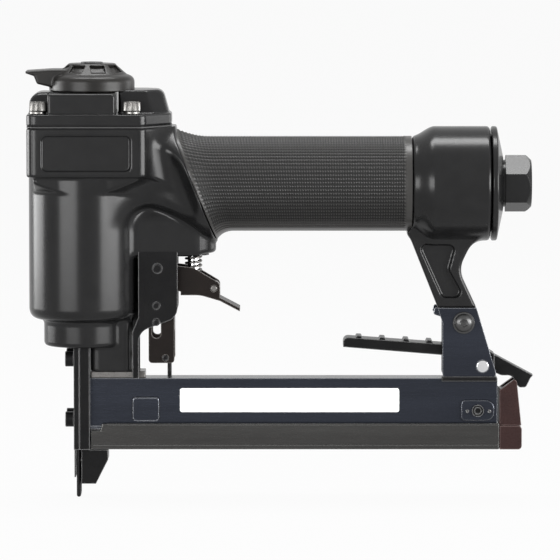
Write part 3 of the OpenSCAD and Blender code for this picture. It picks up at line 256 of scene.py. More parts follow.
def cast(name, field, low, high, step):
    """A field's skin: a point in each cell that its zero level crosses, moved by f grad f / |grad f|^2."""
    rounds, least_slope = 4, 0.05
    axes = [np.arange(a, b + step, step) for a, b in zip(low, high)]
    x, y, z = np.ix_(*axes)
    f = np.broadcast_to(field(x, y, z), [len(a) for a in axes])
    solid = f < 0
    n = np.array(f.shape) - 1
    corners = sum(
        solid[i : i + n[0], j : j + n[1], k : k + n[2]].astype(np.int8)
        for i in (0, 1) for j in (0, 1) for k in (0, 1)
    )
    live = (corners > 0) & (corners < 8)
    number = np.full(live.shape, -1, np.int64)
    number[live] = np.arange(live.sum())
    cell = np.argwhere(live)
    points = np.stack([axes[d][cell[:, d]] + step / 2 for d in range(3)], 1)
    e = step * 0.05
    for _ in range(rounds):
        value = field(*points.T)
        slope = gradient(field, points, e)
        move = slope * (value / np.maximum((slope**2).sum(1), least_slope))[:, None]
        points = points - np.clip(move, -step / 2, step / 2)
    normals = gradient(field, points, e)
    normals /= np.maximum(np.linalg.norm(normals, axis=1), 1e-6)[:, None]
    quads = []
    for d in range(3):
        a, b = (d + 1) % 3, (d + 2) % 3
        here = np.moveaxis(solid, (d, a, b), (0, 1, 2))
        cells = np.moveaxis(number, (d, a, b), (0, 1, 2))
        first, second = here[:-1, 1:-1, 1:-1], here[1:, 1:-1, 1:-1]
        around = [cells[:, :-1, :-1], cells[:, 1:, :-1], cells[:, 1:, 1:], cells[:, :-1, 1:]]
        for change, order in ((first & ~second, (0, 1, 2, 3)), (~first & second, (3, 2, 1, 0))):
            quads.append(np.stack([around[o][change] for o in order], 1))
    return build(name, points, [np.concatenate(quads)], normals)


def gradient(field, points, e):
    """Central differences of a field at points."""
    x, y, z = points.T
    return np.stack([
        field(x + e, y, z) - field(x - e, y, z),
        field(x, y + e, z) - field(x, y - e, z),
        field(x, y, z + e) - field(x, y, z - e),
    ], 1) / (2 * e)


# Finishes


class Finish:
    """A material under construction: keeps its node tree and wires new nodes by name."""

    def __init__(self, name, colour, metallic, roughness, shine=0.5):
        self.material = bpy.data.materials.new(name)
        self.material.use_nodes = True
        self.tree = self.material.node_tree
        self.shader = self.tree.nodes["Principled BSDF"]
        self.shader.inputs["Base Color"].default_value = (*colour, 1)
        self.shader.inputs["Metallic"].default_value = metallic
        self.shader.inputs["Roughness"].default_value = roughness
        self.shader.inputs["Specular IOR Level"].default_value = shine

    def add(self, kind, links=(), **values):
        """A node with its socket values, and links from (node, output) to an input."""
        node = self.tree.nodes.new(kind)
        for key, value in values.items():
            if hasattr(node, key):
                setattr(node, key, value)
            else:
                node.inputs[key.replace("_", " ")].default_value = value
        for source, output, target in links:
            self.tree.links.new(source.outputs[output], node.inputs[target])
        return node

    def place(self, scale=(1, 1, 1)):
        """Object coordinates in millimetres, stretched by scale."""
        source = self.add("ShaderNodeTexCoord")
        return self.add("ShaderNodeMapping", [(source, "Object", "Vector")], Scale=[1000 * s for s in scale])

    def noise(self, place, scale, detail, rough=0.55):
        """Cloudy noise, scale waves to the millimetre."""
        links = [(place, 0, "Vector")]
        return self.add("ShaderNodeTexNoise", links, Scale=scale, Detail=detail, Roughness=rough)

    def span(self, source, output, low, high, start=0.3, end=0.7):
        """A value spread from start..end to low..high."""
        node = self.add("ShaderNodeMapRange", [(source, output, "Value")])
        for key, value in zip(("From Min", "From Max", "To Min", "To Max"), (start, end, low, high)):
            node.inputs[key].default_value = value
        return node

    def blend(self, factor, first, second):
        """Two colours mixed by a factor."""
        node = self.add("ShaderNodeMix", data_type="RGBA")
        self.tree.links.new(factor.outputs[0], node.inputs[0])
        node.inputs[6].default_value = (*first, 1)
        node.inputs[7].default_value = (*second, 1)
        return node

    def set(self, socket, node, output=0):
        """Wires a node to a socket of the shader."""
        self.tree.links.new(node.outputs[output], self.shader.inputs[socket])

    def bump(self, source, output, strength, distance):
        """A relief from a height, distance millimetres deep."""
        links = [(source, output, "Height")]
        self.set("Normal", self.add("ShaderNodeBump", links, Strength=strength, Distance=distance * MM))


# Painted edge highlight: the bevel radius in millimetres it is sampled over, and the normal agreement over
# which it fades in.
EDGE_WIDTH = 0.6
HIGHLIGHT_FROM, HIGHLIGHT_TO = 0.88, 0.99
GRAIN_STRENGTH = 0.3
DRIFT_SHARE = 0.06


def toned(colour, factor):
    """A colour made lighter or darker."""
    return tuple(c * factor for c in colour)


def speckled(name, colour, tint, rough, grain, depth, metal=0, stretch=(1, 1, 1), edge_highlight=None, shine=0.5):
    """A finish whose colour drifts to tint, whose roughness varies by a third and whose skin has a grain.

    Edges, where the normal turns within EDGE_WIDTH millimetres, are lightened to the edge colour as a painted
    highlight.
    The grain is in waves to the millimetre and its depth in millimetres.
    """
    finish = Finish(name, colour, metal, rough, shine)
    place = finish.place(stretch)
    broad = finish.noise(place, grain * DRIFT_SHARE, 3)
    fine = finish.noise(place, grain, 5, 0.6)
    paint = finish.blend(finish.span(broad, 0, 0, 1), colour, tint)
    # Painted highlight: where the bevelled normal turns from the true normal, the colour is lightened to the
    # edge colour.
    if edge_highlight is not None:
        soft = finish.add("ShaderNodeBevel", samples=4, Radius=EDGE_WIDTH * MM)
        flat = finish.add("ShaderNodeNewGeometry")
        both = [(soft, 0, 0), (flat, "Normal", 1)]
        turn = finish.add("ShaderNodeVectorMath", both, operation="DOT_PRODUCT")
        under = paint
        paint = finish.blend(finish.span(turn, "Value", 1, 0, HIGHLIGHT_FROM, HIGHLIGHT_TO), colour, edge_highlight)
        finish.tree.links.new(under.outputs[2], paint.inputs[6])
    finish.set("Base Color", paint, 2)
    finish.set("Roughness", finish.span(fine, 0, rough * 0.85, rough * 1.2))
    finish.bump(fine, 0, GRAIN_STRENGTH, depth)


def woven(name, colour, shine):
    """Rubber cloth: the attribute weave is 0 in the gaps and 1 on the crowns; the gaps get painted shade and
    the crowns a painted highlight, paler and smoother.
    """
    finish = Finish(name, colour, 0, 0.5, shine)
    crown = finish.add("ShaderNodeAttribute", attribute_name="weave")
    fine = finish.noise(finish.place(), 4.0, 4)
    # Painted shade in the gaps at a tenth of the colour, painted highlight on the crowns at 3.2 times it.
    paint = finish.blend(finish.span(crown, 2, 0, 1, 0.35, 1.0), toned(colour, 0.1), toned(colour, 3.2))
    finish.set("Base Color", paint, 2)
    finish.set("Roughness", finish.span(crown, 2, 0.6, 0.26, 0.2, 1.0))
    finish.bump(fine, 0, GRAIN_STRENGTH, 0.05)


def make_coats(colours):
    """The coat of the castings, the deflector's plastic, the brown moulding with a painted edge highlight,
    the rubbers and the sticker.
    """
    black = tuple(colours.casting)
    speckled("casting", black, toned(black, 1.35), rough=0.22, grain=2.2, depth=0.001, shine=0.2)
    speckled(
        "deflector", (0.009, 0.0085, 0.008), (0.013, 0.012, 0.011), rough=0.34, grain=3.5, depth=0.003,
        shine=0.2,
    )
    # The brown moulding's edge colour is a painted highlight.
    speckled(
        "end_block", (0.018, 0.0072, 0.0066), (0.024, 0.01, 0.009), rough=0.28, grain=2.5, depth=0.001,
        edge_highlight=(0.14, 0.1, 0.095), shine=0.22,
    )
    speckled("seal", (0.016, 0.016, 0.016), (0.025, 0.025, 0.025), rough=0.6, grain=3, depth=0.03)
    speckled("label", (0.92, 0.92, 0.91), (0.88, 0.88, 0.87), rough=0.4, grain=2.5, depth=0.001)
    woven("weave", tuple(colours.grip), shine=0.28)


def make_steels(colours):
    """Sheet brushed along X, black and brown oxide, plated and plain steel, and alloy; the sheet and oxide
    edges carry a painted highlight.
    """
    sheet = {"rough": 0.25, "grain": 1.6, "depth": 0.0006, "metal": 0.85, "stretch": (0.08, 1, 1)}
    oxide = {"grain": 1.8, "depth": 0.001, "metal": 0.2, "shine": 0.1}
    blued = tuple(colours.blued)
    # The edge colours of the sheet and oxide finishes are painted highlights.
    speckled("blued", blued, toned(blued, 1.4), edge_highlight=(0.3, 0.31, 0.33), **sheet)
    speckled("slide", (0.037, 0.036, 0.035), (0.058, 0.057, 0.055), edge_highlight=(0.22, 0.22, 0.215), **sheet)
    speckled(
        "dark_steel", (0.005, 0.005, 0.0053), (0.008, 0.008, 0.0083), rough=0.3, edge_highlight=(0.2, 0.2, 0.2),
        **oxide,
    )
    speckled(
        "brown", tuple(colours.brown), (0.011, 0.0085, 0.0075), rough=0.33, edge_highlight=(0.16, 0.15, 0.14), **oxide,
    )
    speckled(
        "grey_steel", (0.055, 0.055, 0.055), (0.07, 0.07, 0.07), rough=0.32, grain=1.8, depth=0.002,
        metal=0.85,
    )
    speckled(
        "nickel", (0.13, 0.127, 0.122), (0.18, 0.175, 0.168), rough=0.34, grain=1.5, depth=0.002, metal=1,
    )
    speckled("worn", (0.16, 0.155, 0.15), (0.11, 0.105, 0.1), rough=0.3, grain=1.5, depth=0.003, metal=1)
    speckled("bright", (0.72, 0.72, 0.72), (0.6, 0.6, 0.61), rough=0.16, grain=1.2, depth=0.005, metal=1)
    speckled("spring", (0.4, 0.4, 0.41), (0.3, 0.3, 0.31), rough=0.3, grain=1.4, depth=0.01, metal=1)
    speckled(
        "alloy", (0.6, 0.6, 0.62), (0.5, 0.5, 0.52), rough=0.3, grain=1.2, depth=0.01, metal=1,
        stretch=(1, 1, 0.1),
    )


# Shapes of this tool, in millimetres


GRIP_Z = 126
HEAD_HALF = 24.5
HEAD_FRONT, HEAD_BACK = -22.9, 37
HEAD_FLOOR, HEAD_TOP = 129.8, 150.4
CAP_FLOOR = 151
JOINT_X = 46.5
JOINT_LEAN = 0.39
JOINT_COS = 0.93
DEFLECTOR_X = 3.6
RAIL_FACE = -6.2


def block(x, y, z, low, high):
    """Distance to a box with sharp edges."""
    across = np.maximum(slab(x, low[0], high[0]), slab(y, low[1], high[1]))
    return np.maximum(across, slab(z, low[2], high[2]))


def oblong(a0, a1, b0, b1, r):
    """The corners of a rectangle, all rounded by r."""
    return [[a0, b0, r], [a1, b0, r], [a1, b1, r], [a0, b1, r]]


def head_line():
    """The head's plan: a square front and a tail that tapers towards the grip."""
    shoulder_x, tail_half, corner_r = 25.6, 8, 4
    near = [[HEAD_FRONT, -HEAD_HALF], [shoulder_x, -HEAD_HALF], [HEAD_BACK, -tail_half]]
    far = [[x, -y] for x, y in reversed(near)]
    return rounded([[x, y, corner_r] for x, y in near + far], 6)


def head_form(flat, radial, z):
    """The square head, and under it the corners that a cone cuts back to the barrel."""
    inset, corner_top = 2.8, 132
    cone_z, cone_r, cone_rise, cone_cos = 122.3, 21.5, 1.57, 0.54
    head = smooth_max(flat, slab(z, HEAD_FLOOR, HEAD_TOP), 1.2)
    corners = smooth_max(flat + inset, slab(z, cone_z, corner_top), 1)
    cone = (radial - cone_r - (z - cone_z) * cone_rise) * cone_cos
    return head, smooth_max(corners, cone, 1)


def throat_form(x, y, z):
    """A slim throat that opens like a trumpet to the slanted joint.

    With s from 0 to 1 along it, its half width is slim + flare s^4 and its underside lies at
    floor - drop s^1.5. The slopes keep each field close to a distance.
    """
    start, length, round_r = 17, 20, 23.9
    slim, flare, side_slope = 15, 8.9, 0.8
    floor, drop, floor_slope = 116.5, 14.5, 0.75
    slant = (x - JOINT_X + (z - GRIP_Z) * JOINT_LEAN) * JOINT_COS
    s = np.clip(slant / length + 1, 0, 1.1)
    side = (np.abs(y) - slim - flare * s**4) * side_slope
    under = (floor - drop * s**1.5 - z) * floor_slope
    trumpet = smooth_max(np.hypot(y, z - GRIP_Z) - round_r, smooth_max(side, under, 6), 2)
    return smooth_max(smooth_max(trumpet, slant, 1), start - x, 2)


def boss_form(x, y, z):
    """The round-ended boss of the trigger valve, and the web that joins it to the barrel and the throat."""
    end_x, end_r, floor, top = 44.5, 11, 97, 113.5
    web_low, web_high = (0, -7.5, 98), (46, 7.5, 128)
    boss = smooth_max(np.hypot(np.maximum(x - end_x, 0), y) - end_r, floor - z, 2)
    boss = smooth_max(boss, z - top, 5)
    return np.maximum(smooth_min(boss, block(x, y, z, web_low, web_high), 6), -x)


def foot_form(x, y, z):
    """The nose base and the small web behind it."""
    front, back, half, floor, top = 2.9, 20.6, 9, 47.5, 72
    web_low, web_high = (12, -6, 63), (23.4, 6, 76)
    base = smooth_max(smooth_max(slab(x, front, back), slab(y, -half, half), 4), slab(z, floor, top), 0.8)
    return np.minimum(base, block(x, y, z, web_low, web_high))


def front_casting(sizes):
    """Head, barrel, neck, slim throat, valve boss and nose base, each a rounded form, joined with fillets."""
    plan = head_line()
    recess, recess_depth = rounded(oblong(-16.3, 20.2, 132.6, 147, 2)), 1
    barrel_floor, barrel_top = 69.3, 146
    neck_r, neck_floor, neck_top = 16.8, 58, 76

    def field(x, y, z):
        radial = np.hypot(x, y)
        head, corners = head_form(outline_distance(plan, x, y), radial, z)
        barrel = smooth_max(radial - sizes.barrel_r, slab(z, barrel_floor, barrel_top), 5)
        neck = smooth_max(radial - neck_r, slab(z, neck_floor, neck_top), 2)
        skin = smooth_min(smooth_min(corners, barrel, 1), head, 1.2)
        skin = smooth_min(skin, throat_form(x, y, z), sizes.fillet * 0.7)
        skin = smooth_min(skin, boss_form(x, y, z), sizes.fillet * 0.25)
        skin = smooth_min(smooth_min(skin, neck, 2.5), foot_form(x, y, z), 1.5)
        skin = np.maximum(np.maximum(skin, z - HEAD_TOP), np.abs(y) - HEAD_HALF)
        badge = smooth_max(outline_distance(recess, x, z), y + HEAD_HALF - recess_depth, 0.6)
        return smooth_max(skin, -badge, 0.9)

    return cast("housing_front", field, (-24, -25.5, 46.5), (57, 25.5, 151.5), sizes.skin_step)


def rear_casting(sizes):
    """Bell behind the grip, its radius rising as 3t^2 - 2t^3, and the strut with a pocket on each side."""
    bell_front, bell_back, bell_rise = 137.6, 170.1, 9.5
    bell_r, bell_grow = 20, 4
    strut_half, pocket_floor = 7.5, 5.2
    tongue_low, tongue_high = (150.8, -5.8, 61.5), (162.1, 5.8, 76)
    strut = rounded([
        [135.7, 106, 0.6], [148.3, 74.3, 0.6], [164.6, 74.3, 0.6], [157.1, 90.3, 10], [164.7, 106, 2],
    ], 6)
    pocket = rounded([
        [140.1, 101.2, 2.5], [150.3, 78.5, 2.5], [159.6, 78.5, 2.5], [153, 90.3, 3], [156, 101.2, 2.5],
    ], 6)

    def field(x, y, z):
        t = np.clip((x - bell_front) / bell_rise, 0, 1)
        wall = np.hypot(y, z - GRIP_Z) - bell_r - bell_grow * t * t * (3 - 2 * t)
        bell = smooth_max(wall, slab(x, bell_front, bell_back), 1.6)
        web = smooth_max(outline_distance(strut, x, z), slab(y, -strut_half, strut_half), 1.6)
        dip = smooth_max(outline_distance(pocket, x, z), pocket_floor - np.abs(y), 1)
        web = smooth_max(web, -dip, 0.8)
        return np.minimum(smooth_min(bell, web, sizes.fillet * 0.5), block(x, y, z, tongue_low, tongue_high))

    return cast("housing_rear", field, (134.5, -25, 60.5), (171.5, 25, 151), sizes.skin_step)


def cap_casting(sizes):
    """Flange with the head's plan, a middle block, and front and rear towers with leaning ends."""
    flange_top, block_foot, block_top = 156, 154, 164.6
    block_half, block_side = 14, 23.3
    tower_foot, rear_top, tower_lean, nose_half, tail_half = 155, 165.7, 0.22, 13, 13.5
    crease_x, crease_lean, crease_turn, crease_slope = 26.5, 0.3, 0.9, 1.35
    plan = head_line()
    front = rounded([
        [-22.2, tower_foot, 0.3], [-22.2, block_top, 5], [-12, block_top, 0.3], [-12, tower_foot, 0.3],
    ], 6)
    rear = rounded([
        [15, tower_foot, 0.3], [36.3, tower_foot, 0.5], [33.4, rear_top, 3.5], [15, rear_top, 0.3],
    ], 6)

    def field(x, y, z):
        flange = smooth_max(outline_distance(plan, x, y), slab(z, CAP_FLOOR, flange_top), 1)
        middle = smooth_max(slab(x, -block_half, block_half), slab(y, -block_side, block_side), 1.2)
        middle = smooth_max(middle, slab(z, block_foot, block_top), 1.4)
        lean = np.abs(y) + (z - flange_top) * tower_lean
        nose = smooth_max(outline_distance(front, x, z), lean - nose_half, 2.4)
        cut = x - crease_x - (rear_top - z) * crease_lean
        crease = (lean - tail_half + cut * crease_turn) / crease_slope
        tail = smooth_max(outline_distance(rear, x, z), smooth_max(lean - tail_half, crease, 0.8), 1.5)
        towers = smooth_min(middle, smooth_min(nose, tail, 0.5), 0.8)
        return smooth_min(towers, flange, 0.8)

    return cast("cylinder_cap_skin", field, (-24, -25.5, 150), (38, 25.5, 167), sizes.skin_step)


def deflector_casting():
    """A skirt and a sloped crown turned about the pivot, with windows round the slope and a flat nozzle."""
    windows, window_half, window_sink, first_turn = 8, 3, 1.1, np.radians(8)
    window_floor, window_top = 172.7, 175.5
    slope_r, slope_z, slope_across, slope_up = 14.6, 171.9, 0.665, 0.747
    mouth_half, mouth_floor, mouth_top, mouth_end = 6.4, 168.2, 171.4, 20
    bowl_r, bowl_floor, nozzle_half, fine_step = 5, 174.4, 8, 0.42
    profile = rounded([
        [-1, 164.95, 0.1], [17.85, 164.95, 0.5], [17.85, 170.6, 3], [slope_r, slope_z, 1], [9.6, 176.35, 0.8],
        [-1, 176.35, 0.1],
    ])
    beak = rounded([
        [-27.5, 172.4, 0.3], [-24, 171.2, 0.6], [-22.7, 168, 1], [-17, 166.6, 0.5], [-8, 166.6, 0.2],
        [-8, 174, 0.2], [-17, 174, 2], [-27.5, 173.3, 0.3],
    ], 4)
    pitch = 2 * np.pi / windows

    def field(x, y, z):
        u = x - DEFLECTOR_X
        radial = np.hypot(u, y)
        crown = outline_distance(profile, radial, z)
        turn = (np.arctan2(y, u) + first_turn) % pitch - pitch / 2
        slope = (radial - slope_r) * slope_across + (z - slope_z) * slope_up
        band = smooth_max(slab(z, window_floor, window_top), -slope - window_sink, 0.3)
        window = smooth_max(np.abs(radial * np.sin(turn)) - window_half, band, 0.3)
        nozzle = smooth_max(outline_distance(beak, u, z), slab(y, -nozzle_half, nozzle_half), 1.2)
        mouth = np.maximum(slab(y, -mouth_half, mouth_half), slab(z, mouth_floor, mouth_top))
        skin = smooth_min(smooth_max(crown, -window, 0.4), nozzle, 0.8)
        skin = smooth_max(skin, -np.maximum(mouth, u + mouth_end), 0.3)
        return smooth_max(skin, -np.maximum(radial - bowl_r, bowl_floor - z), 0.3)

    return cast("deflector_skin", field, (-25.5, -19.5, 164), (23, 19.5, 177.2), fine_step)


def woven_grip(sizes):
    """Rings from the slanted joint to the bell, with a bump for each thread crossing.

    A ring lies at x = start + length t - JOINT_LEAN r cos a (1 - t)^3. A row of threads is 4 points wide
    round the grip and a column 2 points wide along it. The underside turns ribbed and then plain, and both
    ends are plain.
    """
    start, length, inner = 46.65, 90.7, 17.6
    mouth_rise, mouth_share, thread_depth, rim_depth, rim_length = 3.7, 0.12, 0.55, 0.6, 0.6
    weave_start, weave_end, rib_cosine, plain_cosine = 0.9, 88.2, 0.74, 0.87
    gap_height, rib_height, plain_height = 0.1, 0.8, 0.85
    rows, columns = sizes.weave_rows, sizes.weave_columns
    around, along = rows * 4, columns * 2
    t = np.linspace(0, 1, along)[:, None]
    a = np.linspace(0, 2 * np.pi, around, endpoint=False)[None]
    radius = sizes.grip_r + mouth_rise * np.clip(1 - t / mouth_share, 0, 1) ** 2
    x = start + length * t - JOINT_LEAN * radius * np.cos(a) * (1 - t) ** 3
    travel = t * length + 0 * a
    column = np.arange(along)[:, None] % 2
    row = np.array([0.0, 0.75, 1.0, 0.75])[np.arange(around) % 4][None]
    ribbed = ramp(-np.cos(a), rib_cosine, 0.06)
    plain = ramp(-np.cos(a), plain_cosine, 0.04)
    shown = ramp(travel, weave_start, 0.6) * ramp(-travel, -weave_end, 0.8) * (1 - plain)
    bump = row * (gap_height + (1 - gap_height) * np.maximum(column, ribbed * rib_height))
    thread = bump * shown + (1 - shown) * plain_height
    rim = np.clip(1 - travel / rim_length, 0, 1) ** 2
    r = radius - thread_depth + thread_depth * thread - rim_depth * rim
    grid = np.stack([x, r * np.sin(a), GRIP_Z + r * np.cos(a)], -1)
    bore = np.stack([inner * np.sin(a[0]), GRIP_Z + inner * np.cos(a[0])], -1)
    front, back = (np.concatenate([grid[k, :, :1], bore], -1)[None] for k in (0, -1))
    rings = np.concatenate([front, grid, back])
    faces = ring_faces(len(rings) + 1, around) % (len(rings) * around)
    piece = build("woven_grip", rings.reshape(-1, 3), [faces], sharp=60)
    crown = np.concatenate([np.zeros(around), thread.ravel(), np.zeros(around)])
    attribute = piece.data.attributes.new("weave", "FLOAT", "POINT")
    attribute.data.foreach_set("value", crown.astype(np.float32))
    return piece


def hexagon(t, flat):
    """Radius of a hexagon at each angle: flat / cos(t mod 60 - 30 degrees)."""
    return flat / np.cos(t % (np.pi / 3) - np.pi / 6)


def knurled_screw(name, x, y):
    """A socket screw: the head's wall is r + knurl cos(teeth t) and the socket's wall a hexagon."""
    knurl, teeth, socket_flat = 0.13, 40, 1.7
    profile = [
        [3.1, 157.2], [3.4, 157.5], [3.4, 160.8], [3.15, 161.2], [2.2, 161.2], [1.9, 161], [1.9, 159],
        [0.05, 158.8],
    ]

    def wave(r, t):
        socket = np.where((r > 1) & (r < 2), hexagon(t, socket_flat) - r, 0)
        return np.where(r > 3.3, knurl * np.cos(teeth * t), socket)

    return lathe(name, profile, (x, y, 0), steps=240, wave=wave)


def button_screw():
    """A flanged button head on the near side of the rear bracket, with a hexagon socket."""
    socket_flat = 1.5
    profile = [
        [4.6, 0], [4.6, -0.7], [4.35, -0.95], [3.95, -1], [3.7, -1.5], [3.1, -2.1], [2.4, -2.45], [1.7, -2.6],
        [1.6, -2.5], [1.6, -0.6], [0.05, -0.4],
    ]

    def wave(r, t):
        return np.where((r > 1) & (r < 1.65), hexagon(t, socket_flat) - r, 0)

    return lathe("button_screw", profile, (159.2, -7.6, 68), "y", 96, wave)


def pressed_dimple(name, x, y, z):
    """A shallow ring pressed into the stop plate."""
    profile = [[0.75, 0.2], [0.75, -0.1], [0.55, -0.2], [0.3, -0.05], [0.05, 0]]
    return lathe(name, profile, (x, y, z), "y", 24)


# CAD nodes and what stands for them


def extent(node):
    """Lowest and highest corner of a CAD node, in millimetres."""
    mesh = frame["nodes"][node].data
    points = np.empty(len(mesh.vertices) * 3)
    mesh.vertices.foreach_get("co", points)
    points = points.reshape(-1, 3) / MM
    return points.min(0), points.max(0)


def softened(node, width):
    """A copy of a CAD node with doubles merged, flat faces joined and edges rounded by a bevel."""
    double, flat, crease = 2e-6, np.radians(2), np.radians(30)
    mesh = frame["nodes"][node].data.copy()
    mesh.name = node + "_skin"
    work = bmesh.new()
    work.from_mesh(mesh)
    bmesh.ops.remove_doubles(work, verts=work.verts, dist=double)
    bmesh.ops.dissolve_limit(work, angle_limit=flat, verts=work.verts, edges=work.edges)
    work.to_mesh(mesh)
    work.free()
    if "custom_normal" in mesh.attributes:
        mesh.attributes.remove(mesh.attributes["custom_normal"])
    mesh.polygons.foreach_set("use_smooth", np.ones(len(mesh.polygons), bool))
    mesh.set_sharp_from_angle(angle=crease)
    piece = bpy.data.objects.new(node + "_skin", mesh)
    bpy.context.scene.collection.objects.link(piece)
    rim = piece.modifiers.new("rim", "BEVEL")
    rim.width = width * MM
    rim.segments = 2
    rim.limit_method = "ANGLE"
    rim.angle_limit = crease
    rim.harden_normals = True
    rim.use_clamp_overlap = True
    return piece


def slot_of(node):
    """The record's material slot of a CAD node."""
    return next(s["material_slot"] for s in frame["record"]["subparts"] if s["node"] == node)


def settle(piece, body, slot, finish, *nodes):
    """Puts a piece on its body, in place of the CAD nodes named, with its finish."""
    piece.data.materials.clear()
    piece.data.materials.append(bpy.data.materials[finish])
    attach(piece, body)
    if nodes:
        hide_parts(*nodes)


def stand_in(piece, node, finish):
    """Puts a piece in place of a CAD node, on that node's body, with its finish."""
    settle(piece, frame["nodes"][node]["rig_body"], slot_of(node), finish, node)


def dress(nodes, finish, width):
    """Rounds the edges of CAD nodes and gives them one finish."""
    for node in nodes:
        stand_in(softened(node, width), node, finish)


def coat(nodes, finish):
    """Gives CAD nodes that keep their own mesh a finish."""
    for node in nodes:
        mesh = frame["nodes"][node].data
        mesh.materials.clear()
        mesh.materials.append(bpy.data.materials[finish])


# Settings


class StaplerSizes(bpy.types.PropertyGroup):
    """Sizes of the dressed surfaces, in millimetres."""

    barrel_r: FloatProperty(
        name="Barrel radius", description="Radius of the round barrel", default=23, min=21, max=23.5,
    )
    fillet: FloatProperty(
        name="Fillet", description="Width of the fillets between cast forms", default=10, min=1, max=12,
    )
    skin_step: FloatProperty(
        name="Skin step", description="Grid step of the cast skins", default=0.6, min=0.3, max=2,
    )
    grip_r: FloatProperty(
        name="Grip radius", description="Radius of the woven grip", default=20, min=18, max=20.3,
    )
    weave_rows: IntProperty(
        name="Weave rows", description="Rows of threads round the grip", default=78, min=40, max=100,
    )
    weave_columns: IntProperty(
        name="Weave columns", description="Columns of threads along the grip", default=86, min=50, max=140,
    )


class StaplerColours(bpy.types.PropertyGroup):
    """Base colours of the main finishes."""

    casting: FloatVectorProperty(
        name="Casting", description="Satin black coat", subtype="COLOR", default=(0.007, 0.007, 0.0072),
    )
    grip: FloatVectorProperty(
        name="Grip", description="Woven rubber", subtype="COLOR", default=(0.012, 0.0115, 0.011),
    )
    blued: FloatVectorProperty(
        name="Blued steel", description="Rail and rear bracket", subtype="COLOR",
        default=(0.019, 0.0215, 0.029),
    )
    brown: FloatVectorProperty(
        name="Brown steel", description="Trigger and safety plate", subtype="COLOR",
        default=(0.007, 0.0057, 0.0052),
    )
    floor: FloatVectorProperty(
        name="Floor", description="Pale studio floor", subtype="COLOR", default=(0.3, 0.3, 0.3),
    )


# Operators, one for each piece or group


class STAPLER_OT_finishes(bpy.types.Operator):
    """Makes every finish"""

    bl_idname = "stapler.finishes"
    bl_label = "Make finishes"

    def execute(self, context):
        make_coats(context.scene.stapler_colours)
        make_steels(context.scene.stapler_colours)
        return {"FINISHED"}


class STAPLER_OT_housing(bpy.types.Operator):
    """Casts the housing in two skins, in front of and behind the grip"""

    bl_idname = "stapler.housing"
    bl_label = "Cast housing"

    def execute(self, context):
        sizes = context.scene.stapler_sizes
        for piece in (front_casting(sizes), rear_casting(sizes)):
            stand_in(piece, "housing", "casting")
        return {"FINISHED"}


class STAPLER_OT_cap(bpy.types.Operator):
    """Casts the cylinder cap and adds its screws, washers and gasket"""

    bl_idname = "stapler.cap"
    bl_label = "Cast cap"

    def execute(self, context):
        front_x, rear_x, y = -18.1, 20.8, 18.2
        stand_in(cap_casting(context.scene.stapler_sizes), "cylinder_cap", "casting")
        for k, place in enumerate([(front_x, -y), (front_x, y), (rear_x, -y), (rear_x, y)]):
            stand_in(knurled_screw(f"knurled_screw_{k}", *place), "cap_screws", "nickel")
        dress(["cap_washers"], "nickel", 0.3)
        coat(["cap_gasket"], "seal")
        return {"FINISHED"}


class STAPLER_OT_deflector(bpy.types.Operator):
    """Moulds the exhaust deflector"""

    bl_idname = "stapler.deflector"
    bl_label = "Mould deflector"

    def execute(self, context):
        stand_in(deflector_casting(), "exhaust_deflector", "deflector")
        dress(["deflector_screw"], "dark_steel", 0.25)
        return {"FINISHED"}


class STAPLER_OT_grip(bpy.types.Operator):
    """Weaves the rubber grip"""

    bl_idname = "stapler.grip"
    bl_label = "Weave grip"

    def execute(self, context):
        stand_in(woven_grip(context.scene.stapler_sizes), "handle_grip", "weave")
        return {"FINISHED"}


class STAPLER_OT_handle_end(bpy.types.Operator):
    """Finishes the end cap and the air inlet"""

    bl_idname = "stapler.handle_end"
    bl_label = "Finish handle end"

    def execute(self, context):
        dress(["end_cap"], "casting", 0.6)
        dress(["air_inlet"], "casting", 0.4)
        return {"FINISHED"}


class STAPLER_OT_trigger(bpy.types.Operator):
    """Finishes the trigger, its bracket, its valve and the safety"""

    bl_idname = "stapler.trigger"
    bl_label = "Finish trigger"

    def execute(self, context):
        dress(["trigger_bracket"], "dark_steel", 0.5)
        dress(["trigger", "safety_plate"], "brown", 0.3)
        dress(["trigger_pivot_pin", "bracket_pins", "safety_rivet"], "dark_steel", 0.4)
        dress(["safety_wire"], "dark_steel", 0.25)
        dress(["trigger_dog", "dog_pin"], "worn", 0.3)
        coat(["valve_stem"], "bright")
        coat(["valve_bush"], "dark_steel")
        spring = coil(
            "valve_spring_wire", radius=3.2, wire=0.5, low=87.9, high=95.35, turns=4, centre=(46.01, 0, 0),
        )
        stand_in(spring, "valve_spring", "worn")
        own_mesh(spring)
        return {"FINISHED"}


class STAPLER_OT_nose(bpy.types.Operator):
    """Finishes the nose, its front plate and its screws"""

    bl_idname = "stapler.nose"
    bl_label = "Finish nose"

    def execute(self, context):
        dress(["nose_body", "front_plate", "nose_screws"], "dark_steel", 0.4)
        return {"FINISHED"}


